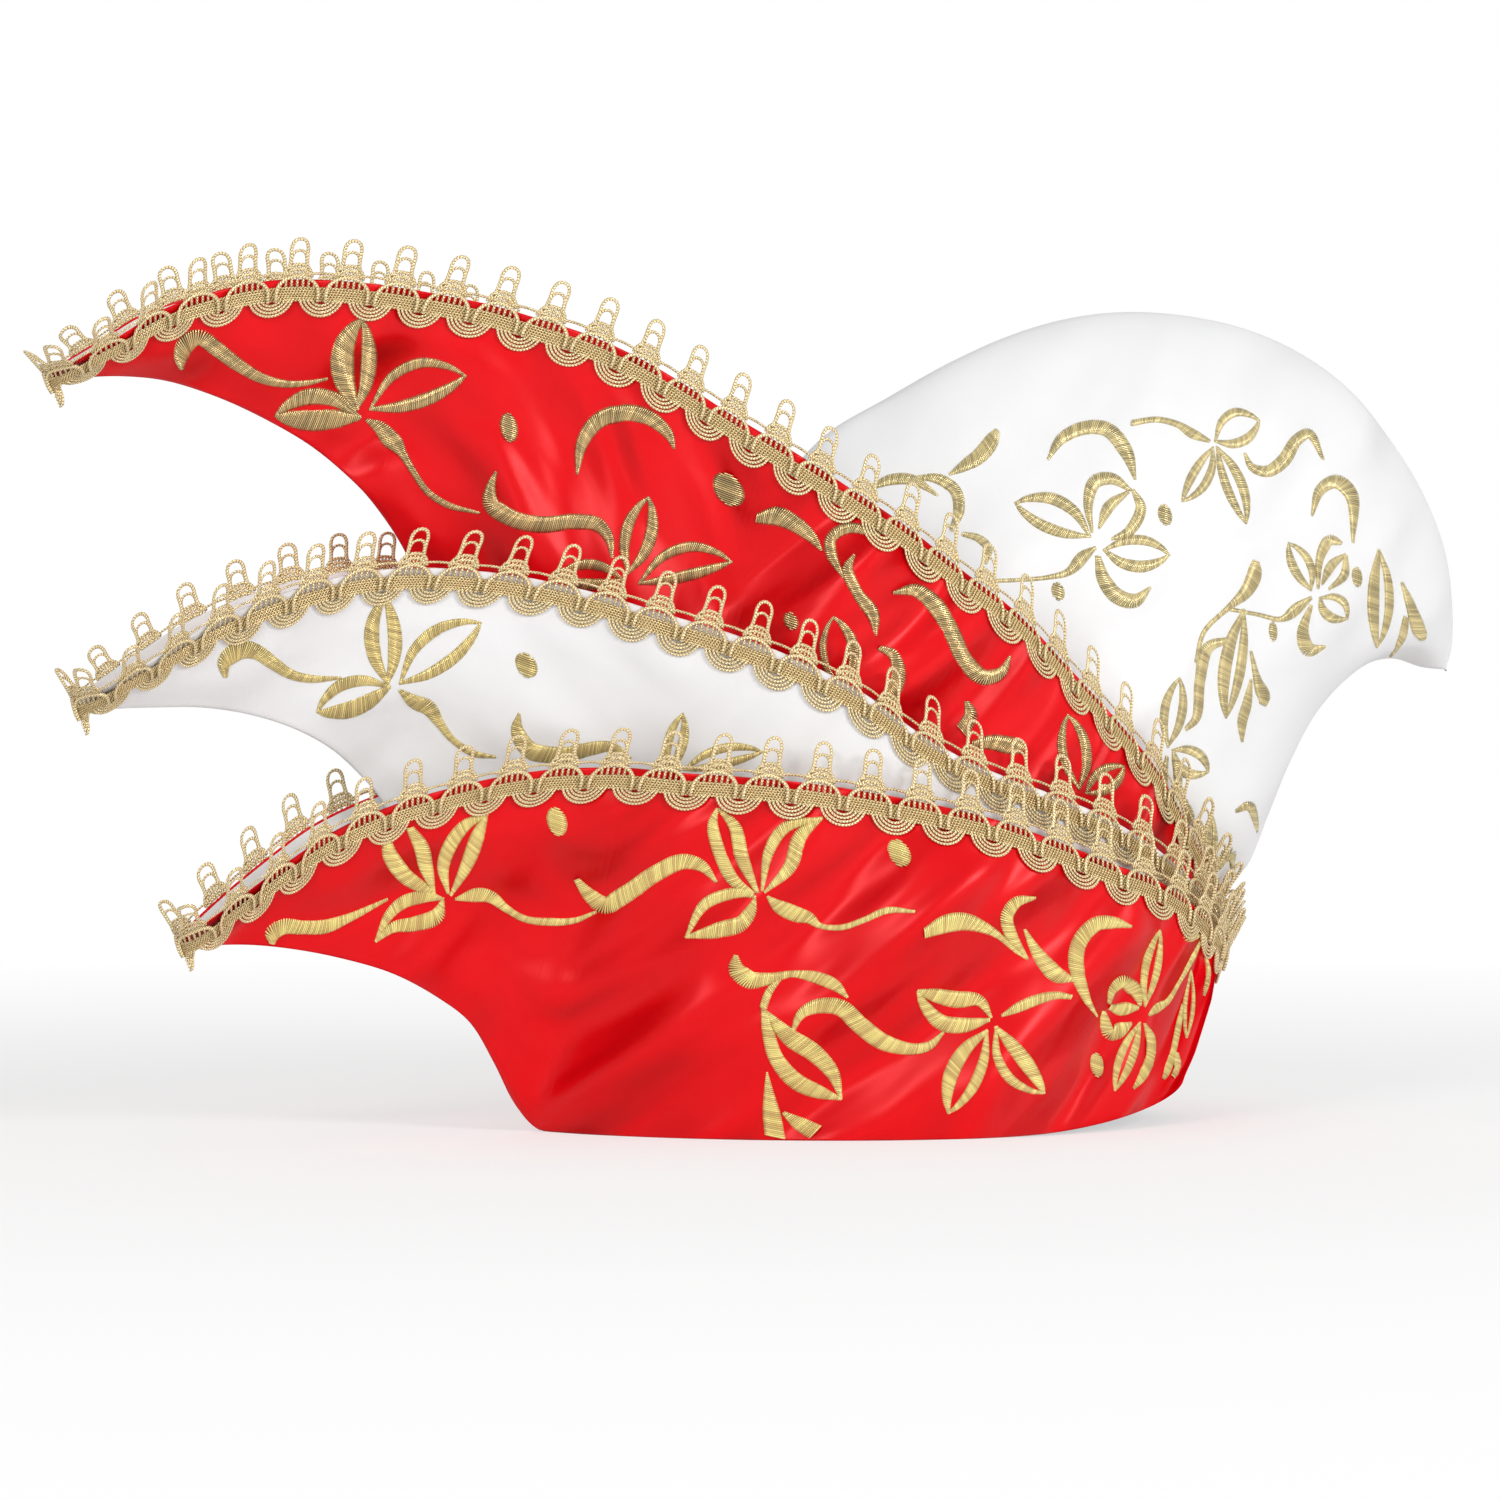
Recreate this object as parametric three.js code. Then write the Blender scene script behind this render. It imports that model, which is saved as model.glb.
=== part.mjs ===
// A carnival committee cap: a hollow crown with a hooked tail, inside three boat-shaped brims,
// each edged with loop lace. The crown and each brim are a left and a right panel that meet at seams
// in the mirror plane y = 0. Millimetres, +Z up, the beaks point along -X, the left panels lie at -Y.
import * as THREE from "three";

// Cloth and seams
const WALL = 1.5; // stiffened satin
const SEAM_HALF = 0.8; // half the thickness of the sewn front edge of a brim
const SEAM_Y = -0.15; // where the left panels stop, so that left and right keep a small gap
const LAYER = 2.45; // step from one nested layer to the next at the rim
const CENTRE_X = 9.35; // middle of the whole length, which becomes x = 0

const FINISHES = {
  red: { color: 0xd0101a, roughness: 0.4, metalness: 0 },
  white: { color: 0xf2f1ef, roughness: 0.45, metalness: 0 },
  gold: { color: 0xc9a24e, roughness: 0.4, metalness: 0.6 },
};

// Head opening: an egg, pointed at the forehead and round at the nape
const RIM = {
  widestX: 50,
  half: 75,
  front: 123,
  back: 99,
  frontPower: 0.8,
  backPower: 0.46,
  frontTaper: 1.3,
};
const NAPE = { startX: 55, backX: 149, lift: 14 }; // the rim lies flat up to startX and then rises

// Lace: one repeat along the edge, heights measured from the brim's top edge
const LACE = { pitch: 16.2, thick: 0.9, gap: 0.64, hem: 0.6, leanFrom: 85, leanTo: 155 };
const NOSE = { reach: 22, stand: 1.6 }; // the lace stands off the tight bend at the nose
const LACE_COLUMNS = ["phase", "low", "high"];
const LACE_ROWS = [
  [0.0, -10.5, 2.8],
  [0.3, -7.6, 3.4],
  [0.43, -6.6, 13.4],
  [0.57, -6.6, 13.4],
  [0.7, -7.6, 3.4],
];

// Brims: the beak's stations run from the nose to the rim's front corner, the band's from there to the nape
const BEAK_COLUMNS = ["topX", "topHalf", "topZ", "footX", "footZ"];
const BAND_COLUMNS = ["topX", "topHalf", "topZ", "footX"];
const BRIMS = [
  {
    name: "lower",
    finish: "red",
    layer: 0,
    laceLean: 0.15,
    beak: [
      [-191, 0, 66, -189, 61.5],
      [-189.5, 5, 67, -187, 61.8],
      [-184, 9, 71, -180, 62.2],
      [-171, 12.5, 81, -168, 62],
      [-158, 14.5, 90.5, -154, 60.3],
      [-145, 17, 99, -139, 57.2],
      [-128, 20.5, 106.5, -122, 52],
      [-110, 25, 112, -107, 44],
      [-93, 31, 116, -96, 35.5],
      [-79, 36.5, 118, -88, 22.5],
      [-68, 41, 118.5, -81, 9],
      [-58, 45.5, 118.5, -74, 1],
    ],
    band: [
      [-44, 51, 117, -62],
      [-23, 59, 115.5, -40],
      [0, 67, 113, -12],
      [26, 73.5, 108.5, 18],
      [54.5, 77, 102, 50],
      [77, 77, 94.5, 76],
      [97, 76, 87, 96],
      [115, 72, 81, 112],
      [131, 64, 72.5, 126],
      [145, 51, 63.5, 138],
      [155.5, 34, 57, 145.5],
      [161.5, 16, 54, 148.5],
      [163, 0, 53.5, 149],
    ],
  },
  {
    name: "middle",
    finish: "white",
    layer: 1,
    laceLean: 0.25,
    beak: [
      [-224, 0, 141, -222, 136],
      [-222.5, 6, 142, -220, 136.5],
      [-217, 12, 145, -213, 137.2],
      [-204, 16.5, 153, -200, 137.6],
      [-188, 19, 163, -184, 137.5],
      [-172, 20, 170.5, -168, 135],
      [-156, 20.7, 176, -154, 130.5],
      [-139, 21.7, 180.2, -142, 124],
      [-121, 24.2, 181.8, -133, 116],
      [-104, 27.4, 181, -126, 108],
      [-88, 31.5, 179, -115, 86],
      [-74, 35.8, 176, -103, 61],
      [-62, 39.8, 172.8, -90, 43],
      [-52, 43.3, 169.5, -80, 26],
      [-43, 46.4, 166.6, -73, 11],
      [-34, 49.6, 163.8, -68.5, 2],
    ],
    band: [
      [-23, 53.5, 160, -58],
      [-5, 60, 152.5, -36],
      [13, 65.5, 143, -8],
      [32, 69.3, 129.5, 22],
      [47, 71.5, 121, 44],
      [60, 72.8, 115.5, 59],
      [77, 73, 109.5, 77],
      [97, 72.5, 101.5, 96],
      [116, 68.5, 91.2, 112],
      [131, 61, 81, 125.5],
      [145, 48.5, 70.5, 137],
      [154.8, 32.5, 63, 143.8],
      [160.5, 15, 59.2, 146.2],
      [162, 0, 58.5, 146.5],
    ],
  },
  {
    name: "upper",
    finish: "red",
    layer: 2,
    laceLean: 0.4,
    beak: [
      [-233, 0, 243.5, -231, 239.5],
      [-231.5, 6.5, 244.3, -229, 240.3],
      [-226, 11.5, 247, -221, 241.3],
      [-215, 14.5, 253.3, -210, 241.8],
      [-200, 16, 262.5, -196, 240.6],
      [-182, 17, 268.7, -179, 235.6],
      [-165, 18, 272, -163, 228.6],
      [-147, 19, 272.3, -149, 220.8],
      [-130, 20.5, 271, -138, 212.3],
      [-113, 23, 268.4, -129, 203.5],
      [-97, 25.7, 265.3, -117, 186],
      [-82, 29, 261, -110, 166],
      [-67, 33.3, 256, -103, 138],
      [-52, 38, 249, -96, 104],
      [-38, 42.7, 240.5, -88, 68],
      [-24, 47.6, 231, -75, 35],
      [-10, 52.6, 222, -64, 3],
    ],
    band: [
      [8, 58.5, 210, -45],
      [29, 63, 196, -12],
      [48, 66, 181.5, 22],
      [67, 67.6, 167.5, 52],
      [85, 67.6, 150, 78],
      [101, 67.5, 134, 97],
      [116, 65, 118.5, 112],
      [131, 58.5, 98.5, 125],
      [143.5, 47, 82, 135.5],
      [153.2, 31.5, 70.5, 142],
      [158.8, 15, 64.8, 143.8],
      [160.3, 0, 63.5, 144.1],
    ],
  },
];

// Crown, as its seams run in the mirror plane: columns x, z
const CROWN = {
  half: 66,
  widestS: 0.54,
  backPower: 0.62,
  ridgePower: 0.58,
  ridgeBend: 2.3,
  slack: 3.5, // clear of the upper brim
  leanShare: 0.8, // how closely it follows the lace that leans out
  freeAbove: 18, // height over the brim's edge from which the crown is clear of the lace
  flare: 1.2, // how fast its room widens from there
  tailReach: 14, // the wall thins over this length towards the tail's tip
  tailWall: 0.3,
};
const FRONT_SEAM = [[-60, 0.5], [-52, 35], [-45, 75], [-34, 115], [-20, 152], [-2, 186]];
const RIDGE_SEAM = [
  [-2, 186], [12, 211], [27.5, 227.6], [50, 240.4], [74, 253.2], [99, 263.5], [124, 269], [150, 269.6],
  [176, 265.5], [198, 257], [216.2, 245], [229.8, 230.4], [243.6, 211], [252.8, 190], [256, 170],
  [256.3, 157], [255, 148.6],
];
const BACK_SEAM = [
  [141.6, 13], [147.3, 36], [152, 56], [160, 68.5], [174.5, 84], [182, 101], [189.3, 118], [199, 134],
  [211.5, 145.5], [224.5, 151.6], [236, 152.6], [246.6, 149.4], [255, 148.6],
];

// Mesh density
const CROWN_ALONG = 22;
const CROWN_UP = 14;
const NOSE_ROWS = 2; // beak rows that bend round the nose
const SAME_LENGTH = 1e-9;

// Half-width and height of the rim, for a layer that lies inside the outermost one
function rimHalf(x, layer) {
  const inset = layer * LAYER;
  const forward = x < RIM.widestX;
  const reach = forward ? RIM.front - RIM.frontTaper * inset : RIM.back - inset;
  const u = Math.min(1, Math.abs(x - RIM.widestX) / reach);
  return (RIM.half - inset) * (1 - u * u) ** (forward ? RIM.frontPower : RIM.backPower);
}

function rimHeight(x) {
  const u = Math.max(0, (x - NAPE.startX) / (NAPE.backX - NAPE.startX));
  return NAPE.lift * u * u;
}

function rowsAsObjects(columns, rows) {
  return rows.map((row) => Object.fromEntries(columns.map((name, i) => [name, row[i]])));
}

function curveThrough(points) {
  return new THREE.CatmullRomCurve3(points, false, "centripetal");
}

// A piece as a closed mesh
function piece(name, points, faces, finish) {
  const geometry = new THREE.BufferGeometry();
  geometry.setAttribute("position", new THREE.Float32BufferAttribute(points.flatMap((p) => p.toArray()), 3));
  geometry.setIndex(faces.flat());
  geometry.computeVertexNormals();
  const mesh = new THREE.Mesh(geometry, new THREE.MeshStandardMaterial(FINISHES[finish]));
  mesh.name = name;
  return mesh;
}

// A left panel and its mirror image, whose faces turn the other way round
function panelPair(name, points, faces, finish) {
  const turned = faces.map((face) => [...face].reverse());
  return [
    piece(`${name}_left`, points, faces, finish),
    piece(`${name}_right`, points.map(mirror), turned, finish),
  ];
}

function mirror(point) {
  return new THREE.Vector3(point.x, -point.y, point.z);
}

// The two triangles of a quad
function quad(a, b, c, d) {
  return [a, b, c, a, c, d];
}

// Keeps a point of a left panel clear of the mirror plane
function leftOfSeam(point) {
  return point.setY(Math.min(point.y, SEAM_Y));
}

// A brim's left wall as stations from nose to nape: outer foot, outer top and the level outward direction
function brimStations(brim) {
  const beak = rowsAsObjects(BEAK_COLUMNS, brim.beak);
  const band = rowsAsObjects(BAND_COLUMNS, brim.band);
  const top = [...beak, ...band].map((r) => leftOfSeam(new THREE.Vector3(r.topX, -r.topHalf, r.topZ)));
  const beakFeet = beak.map((r) => new THREE.Vector3(r.footX, r.topHalf ? -SEAM_HALF : SEAM_Y, r.footZ));
  const bandFeet = band.map(
    (r) => leftOfSeam(new THREE.Vector3(r.footX, -rimHalf(r.footX, brim.layer), rimHeight(r.footX))),
  );
  const topCurve = curveThrough(top);
  const footCurve = curveThrough([...beakFeet, ...bandFeet]);
  const stations = [];
  for (const t of stationPlaces(top.length - 1, beak.length)) {
    const station = { top: topCurve.getPoint(t), foot: footCurve.getPoint(t) };
    station.foot.z = Math.max(0, station.foot.z);
    const along = topCurve.getTangent(t).add(footCurve.getTangent(t));
    station.out = new THREE.Vector3(along.y, -along.x, 0).normalize();
    station.lean = brim.laceLean * THREE.MathUtils.smoothstep(station.top.x, LACE.leanFrom, LACE.leanTo);
    stations.push(station);
  }
  stations[0].out.set(-1, 0, 0);
  stations[stations.length - 1].out.set(1, 0, 0);
  return stations;
}

// One station per row along the nearly flat beak, two where the wall bends: at the nose and round the head
function stationPlaces(last, beakRows) {
  const places = [];
  for (let i = 0; i < last; i++) {
    places.push(i / last);
    if (i < NOSE_ROWS || i >= beakRows - 1) places.push((i + 0.5) / last);
  }
  return [...places, 1];
}

// The wall's section at each station is a thin upright quad
function brimPanels(name, stations, finish) {
  const points = [];
  for (const { top, foot, out } of stations) {
    const inward = out.clone().multiplyScalar(-WALL);
    const inner = [top, foot].map((p) => leftOfSeam(p.clone().add(inward)));
    points.push(foot, top, ...inner);
  }
  const faces = [quad(0, 1, 2, 3)];
  for (let i = 0; i + 1 < stations.length; i++) {
    for (let k = 0; k < 4; k++) {
      const [a, b] = [4 * i + k, 4 * i + ((k + 1) % 4)];
      const onInside = k === 2;
      // Both faces of the twisted wall fold along the same diagonal, from one foot to the next top
      faces.push(onInside ? quad(b, a, a + 4, b + 4) : quad(a, a + 4, b + 4, b));
    }
  }
  const end = 4 * (stations.length - 1);
  faces.push(quad(end + 3, end + 2, end + 1, end));
  return panelPair(name, points, faces, finish);
}

// Lace: a ring of columns around the brim's edge, whose outline repeats
function lacePiece(name, stations, outerStations) {
  const lengths = [0];
  for (let i = 1; i < stations.length; i++) {
    lengths.push(lengths[i - 1] + stations[i].top.distanceTo(stations[i - 1].top));
  }
  const total = lengths[lengths.length - 1];
  const repeats = Math.round(total / LACE.pitch);
  const rows = rowsAsObjects(LACE_COLUMNS, LACE_ROWS);
  const left = [];
  for (let n = 0; n < repeats; n++) {
    for (const row of rows) left.push({ at: ((n + row.phase) * total) / repeats, ...row });
  }
  left.push({ at: total, ...rows[0] });
  const columns = left.map((c) => laceColumn(stations, lengths, outerStations, c));
  for (const p of [...columns[0], ...columns[columns.length - 1]]) p.setY(0);
  const mirrored = columns.slice(1, -1).reverse().map((column) => column.map(mirror));
  const ring = [...columns, ...mirrored];
  const points = ring.flat();
  const faces = [];
  for (let i = 0; i < ring.length; i++) {
    const next = (i + 1) % ring.length;
    for (let k = 0; k < 4; k++) {
      const l = (k + 1) % 4;
      const corners = [4 * i + k, 4 * next + k, 4 * next + l, 4 * i + l];
      if (i >= columns.length - 1) corners.push(corners.shift());
      faces.push(quad(...corners));
    }
  }
  return piece(name, points, faces, "gold");
}

// Height of a brim's top edge at x
function edgeHeight(stations, x) {
  const i = stations.findIndex((s) => s.top.x >= x);
  if (i < 1) return i < 0 ? stations[stations.length - 1].top.z : -Infinity;
  const [a, b] = [stations[i - 1].top, stations[i].top];
  return THREE.MathUtils.mapLinear(x, a.x, b.x, a.z, b.z);
}

// Outer low, outer high, inner high and inner low corners of one lace column
function laceColumn(stations, lengths, outerStations, { at, low, high }) {
  let i = lengths.findIndex((l) => l >= at - SAME_LENGTH);
  i = Math.max(1, i);
  const share = (at - lengths[i - 1]) / (lengths[i] - lengths[i - 1]);
  const [a, b] = [stations[i - 1], stations[i]];
  const top = a.top.clone().lerp(b.top, share);
  const foot = a.foot.clone().lerp(b.foot, share);
  const out = a.out.clone().lerp(b.out, share).normalize();
  const wall = top.clone().sub(foot);
  const clear = outerStations ? edgeHeight(outerStations, top.x) - top.z : -Infinity;
  const deepest = LACE.hem + Math.max(-wall.length(), clear);
  const lean = THREE.MathUtils.lerp(a.lean, b.lean, share);
  const up = wall.normalize();
  const floor = Math.max(low, deepest);
  const stand = LACE.gap + NOSE.stand * (1 - THREE.MathUtils.smoothstep(at, 0, NOSE.reach));
  const corner = (h, off) =>
    top.clone().addScaledVector(up, h).addScaledVector(out, stand + off + lean * Math.max(0, h));
  return [corner(floor, LACE.thick), corner(high, LACE.thick), corner(high, 0), corner(floor, 0)];
}

// Crown: a Coons patch between rim, front seam, ridge and back seam, swollen to its half-width
function crownPatch(brim) {
  const seam = (rows) => curveThrough(rows.map(([x, z]) => new THREE.Vector3(x, 0, z)));
  const [front, ridge, back] = [FRONT_SEAM, RIDGE_SEAM, BACK_SEAM].map(seam);
  const frontX = FRONT_SEAM[0][0];
  const backX = BACK_SEAM[0][0];
  const rim = (s) => {
    const x = frontX + (backX - frontX) * s;
    return new THREE.Vector3(x, 0, rimHeight(x));
  };
  const corners = [rim(0), rim(1), ridge.getPoint(0), ridge.getPoint(1)];
  return (s, t) => {
    const point = new THREE.Vector3();
    point.addScaledVector(rim(s), 1 - t).addScaledVector(ridge.getPoint(s), t);
    point.addScaledVector(front.getPoint(t), 1 - s).addScaledVector(back.getPoint(t), s);
    point.addScaledVector(corners[0], -(1 - s) * (1 - t)).addScaledVector(corners[1], -s * (1 - t));
    point.addScaledVector(corners[2], -(1 - s) * t).addScaledVector(corners[3], -s * t);
    point.y = -Math.min(CROWN.half * swellAlong(s) * swellUp(t), roomInside(brim, point));
    return point;
  };
}

// Half-width left for the crown inside a brim and, above its edge, inside the lace that leans out
function roomInside(stations, { x, z }) {
  let room = Infinity;
  for (let i = 1; i < stations.length; i++) {
    const [a, b] = [stations[i - 1], stations[i]].map((st) => limitAt(st, z));
    if (!a || !b || x < Math.min(a.x, b.x) || x > Math.max(a.x, b.x)) continue;
    room = THREE.MathUtils.mapLinear(x, a.x, b.x, -a.y, -b.y);
  }
  return Math.max(0, room);
}

// The crown's limit at height z on one station
function limitAt({ top, foot, out, lean }, z) {
  if (z < foot.z - NAPE.lift) return null;
  const share = (z - foot.z) / (top.z - foot.z);
  const above = Math.max(0, z - top.z);
  const flare = CROWN.flare * Math.max(0, above - CROWN.freeAbove);
  const off = CROWN.leanShare * lean * above + flare - WALL - CROWN.slack;
  return foot.clone().lerp(top, share).addScaledVector(out, off);
}

function swellAlong(s) {
  const forward = s < CROWN.widestS;
  const u = Math.abs(s - CROWN.widestS) / (forward ? CROWN.widestS : 1 - CROWN.widestS);
  return Math.max(0, 1 - u * u) ** (forward ? RIM.frontPower : CROWN.backPower);
}

function swellUp(t) {
  return Math.max(0, 1 - t ** CROWN.ridgeBend) ** CROWN.ridgePower;
}

function crownPanels(brim) {
  const patch = crownPatch(brim);
  const outer = [];
  for (let j = 0; j <= CROWN_UP; j++) {
    for (let i = 0; i <= CROWN_ALONG; i++) {
      // Rows and columns crowd towards the seams, where the cloth turns over
      const s = (1 - Math.cos((Math.PI * i) / CROWN_ALONG)) / 2;
      const t = (j / CROWN_UP + Math.sin((Math.PI / 2) * (j / CROWN_UP))) / 2;
      outer.push(leftOfSeam(patch(s, t)));
    }
  }
  const width = CROWN_ALONG + 1;
  const cells = [];
  for (let j = 0; j < CROWN_UP; j++) {
    for (let i = 0; i < CROWN_ALONG; i++) {
      const a = j * width + i;
      cells.push(quad(a, a + 1, a + width + 1, a + width));
    }
  }
  const normals = vertexNormals(outer, cells);
  const tip = outer[outer.length - 1];
  const inner = outer.map((p, k) => {
    const n = normals[k].clone();
    const onRim = k < width;
    const onSeam = k % width === 0 || k % width === CROWN_ALONG || k >= CROWN_UP * width;
    if (onRim) n.z = 0;
    if (onSeam) n.y = 0;
    const share = THREE.MathUtils.smoothstep(p.distanceTo(tip), 0, CROWN.tailReach);
    const depth = THREE.MathUtils.lerp(CROWN.tailWall, WALL, share);
    return leftOfSeam(p.clone().addScaledVector(n.normalize(), -depth));
  });
  const count = outer.length;
  const border = [];
  for (let i = 0; i < CROWN_ALONG; i++) border.push(i);
  for (let j = 0; j < CROWN_UP; j++) border.push(j * width + CROWN_ALONG);
  for (let i = CROWN_ALONG; i > 0; i--) border.push(CROWN_UP * width + i);
  for (let j = CROWN_UP; j > 0; j--) border.push(j * width);
  const faces = [...cells, ...cells.map((f) => [...f].reverse().map((k) => k + count))];
  border.forEach((a, k) => {
    const b = border[(k + 1) % border.length];
    faces.push(quad(b, a, a + count, b + count));
  });
  return panelPair("crown", [...outer, ...inner], faces, "white");
}

function vertexNormals(points, faces) {
  const normals = points.map(() => new THREE.Vector3());
  for (const face of faces) {
    for (let k = 0; k < face.length; k += 3) {
      const [a, b, c] = face.slice(k, k + 3);
      const normal = points[b].clone().sub(points[a]).cross(points[c].clone().sub(points[a]));
      for (const v of [a, b, c]) normals[v].add(normal);
    }
  }
  return normals.map((n) => n.normalize());
}

const cap = new THREE.Group();
cap.position.x = -CENTRE_X;
let outside = null;
for (const brim of BRIMS) {
  const stations = brimStations(brim);
  cap.add(...brimPanels(`brim_${brim.name}`, stations, brim.finish));
  cap.add(lacePiece(`lace_${brim.name}`, stations, outside));
  outside = stations;
}
cap.add(...crownPanels(outside));

export default cap;
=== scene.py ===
"""An embroidered carnival cap: satin crown and brims, gold loop lace and satin-stitch embroidery."""
import math

import bmesh
import bpy
import numpy as np
from bpy.props import FloatProperty, FloatVectorProperty, PointerProperty
from bpy.types import Operator, Panel, PropertyGroup
from mathutils import Matrix, Vector, noise
from mathutils.bvhtree import BVHTree


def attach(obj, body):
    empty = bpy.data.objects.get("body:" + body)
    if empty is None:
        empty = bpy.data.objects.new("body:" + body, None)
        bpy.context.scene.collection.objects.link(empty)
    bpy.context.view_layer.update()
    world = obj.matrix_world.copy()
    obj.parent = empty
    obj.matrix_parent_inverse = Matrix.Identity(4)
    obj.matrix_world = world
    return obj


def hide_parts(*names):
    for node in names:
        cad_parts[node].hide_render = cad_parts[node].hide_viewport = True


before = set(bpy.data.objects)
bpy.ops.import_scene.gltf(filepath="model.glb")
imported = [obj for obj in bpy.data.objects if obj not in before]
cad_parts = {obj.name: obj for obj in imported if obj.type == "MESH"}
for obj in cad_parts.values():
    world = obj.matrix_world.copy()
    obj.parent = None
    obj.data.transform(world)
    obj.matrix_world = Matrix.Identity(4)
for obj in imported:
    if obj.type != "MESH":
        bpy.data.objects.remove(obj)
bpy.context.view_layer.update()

bl_info = {
    "name": "Embroidered Carnival Cap",
    "version": (1, 0, 0),
    "blender": (4, 5, 0),
    "location": "View3D > Sidebar > Cap",
    "description": "Builds the satin, lace and embroidery of a carnival cap around its frame",
    "category": "Object",
}

MM = 0.001
BODY = "root"

# Sizes of the cut, in millimetres, before the whole is centred on x = 0
CENTRE_X = 9.35
WALL = 1.5
SEAM_HALF = 0.8
SEAM_CLEAR = 0.05
LAYER = 2.45
RIM = {
    "widest_x": 50,
    "half": 75,
    "front": 123,
    "back": 99,
    "front_power": 0.8,
    "back_power": 0.46,
    "front_taper": 1.3,
}
NAPE = {"start_x": 55, "back_x": 149, "lift": 14}
LEAN = {"from_x": 85, "to_x": 155}

# Brims: beak rows run from the nose to the rim's front corner, band rows from there to the nape
BEAK_COLUMNS = ("top_x", "top_half", "top_z", "foot_x", "foot_z")
BAND_COLUMNS = ("top_x", "top_half", "top_z", "foot_x")
BRIMS = {
    "lower": {
        "satin": "red",
        "layer": 0,
        "lean": 0.15,
        "beak": (
            (-191, 0, 66, -189, 61.5),
            (-189.5, 5, 67, -187, 61.8),
            (-184, 9, 71, -180, 62.2),
            (-171, 12.5, 81, -168, 62),
            (-158, 14.5, 90.5, -154, 60.3),
            (-145, 17, 99, -139, 57.2),
            (-128, 20.5, 106.5, -122, 52),
            (-110, 25, 112, -107, 44),
            (-93, 31, 116, -96, 35.5),
            (-79, 36.5, 118, -88, 22.5),
            (-68, 41, 118.5, -81, 9),
            (-58, 45.5, 118.5, -74, 1),
        ),
        "band": (
            (-44, 51, 117, -62),
            (-23, 59, 115.5, -40),
            (0, 67, 113, -12),
            (26, 73.5, 108.5, 18),
            (54.5, 77, 102, 50),
            (77, 77, 94.5, 76),
            (97, 76, 87, 96),
            (115, 72, 81, 112),
            (131, 64, 72.5, 126),
            (145, 51, 63.5, 138),
            (155.5, 34, 57, 145.5),
            (161.5, 16, 54, 148.5),
            (163, 0, 53.5, 149),
        ),
    },
    "middle": {
        "satin": "white",
        "layer": 1,
        "lean": 0.25,
        "beak": (
            (-224, 0, 141, -222, 136),
            (-222.5, 6, 142, -220, 136.5),
            (-217, 12, 145, -213, 137.2),
            (-204, 16.5, 153, -200, 137.6),
            (-188, 19, 163, -184, 137.5),
            (-172, 20, 170.5, -168, 135),
            (-156, 20.7, 176, -154, 130.5),
            (-139, 21.7, 180.2, -142, 124),
            (-121, 24.2, 181.8, -133, 116),
            (-104, 27.4, 181, -126, 108),
            (-88, 31.5, 179, -115, 86),
            (-74, 35.8, 176, -103, 61),
            (-62, 39.8, 172.8, -90, 43),
            (-52, 43.3, 169.5, -80, 26),
            (-43, 46.4, 166.6, -73, 11),
            (-34, 49.6, 163.8, -68.5, 2),
        ),
        "band": (
            (-23, 53.5, 160, -58),
            (-5, 60, 152.5, -36),
            (13, 65.5, 143, -8),
            (32, 69.3, 129.5, 22),
            (47, 71.5, 121, 44),
            (60, 72.8, 115.5, 59),
            (77, 73, 109.5, 77),
            (97, 72.5, 101.5, 96),
            (116, 68.5, 91.2, 112),
            (131, 61, 81, 125.5),
            (145, 48.5, 70.5, 137),
            (154.8, 32.5, 63, 143.8),
            (160.5, 15, 59.2, 146.2),
            (162, 0, 58.5, 146.5),
        ),
    },
    "upper": {
        "satin": "red",
        "layer": 2,
        "lean": 0.4,
        "beak": (
            (-233, 0, 243.5, -231, 239.5),
            (-231.5, 6.5, 244.3, -229, 240.3),
            (-226, 11.5, 247, -221, 241.3),
            (-215, 14.5, 253.3, -210, 241.8),
            (-200, 16, 262.5, -196, 240.6),
            (-182, 17, 268.7, -179, 235.6),
            (-165, 18, 272, -163, 228.6),
            (-147, 19, 272.3, -149, 220.8),
            (-130, 20.5, 271, -138, 212.3),
            (-113, 23, 268.4, -129, 203.5),
            (-97, 25.7, 265.3, -117, 186),
            (-82, 29, 261, -110, 166),
            (-67, 33.3, 256, -103, 138),
            (-52, 38, 249, -96, 104),
            (-38, 42.7, 240.5, -88, 68),
            (-24, 47.6, 231, -75, 35),
            (-10, 52.6, 222, -64, 3),
        ),
        "band": (
            (8, 58.5, 210, -45),
            (29, 63, 196, -12),
            (48, 66, 181.5, 22),
            (67, 67.6, 167.5, 52),
            (85, 67.6, 150, 78),
            (101, 67.5, 134, 97),
            (116, 65, 118.5, 112),
            (131, 58.5, 98.5, 125),
            (143.5, 47, 82, 135.5),
            (153.2, 31.5, 70.5, 142),
            (158.8, 15, 64.8, 143.8),
            (160.3, 0, 63.5, 144.1),
        ),
    },
}

# Crown: its panels swell between the seams, and the upper brim holds them in
CROWN = {
    "half": 66,
    "widest_s": 0.54,
    "back_power": 0.62,
    "ridge_power": 0.58,
    "ridge_bend": 2.3,
    "slack": 3.5,
    "nape_slack": 0.3,
    "lean_share": 1.0,
    "free_above": 14,
    "flare": 1.6,
    "soften": 6.0,
    "soften_share": 0.6,
    "soften_least": 0.01,
    "rim_z": 0.5,
}

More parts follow.
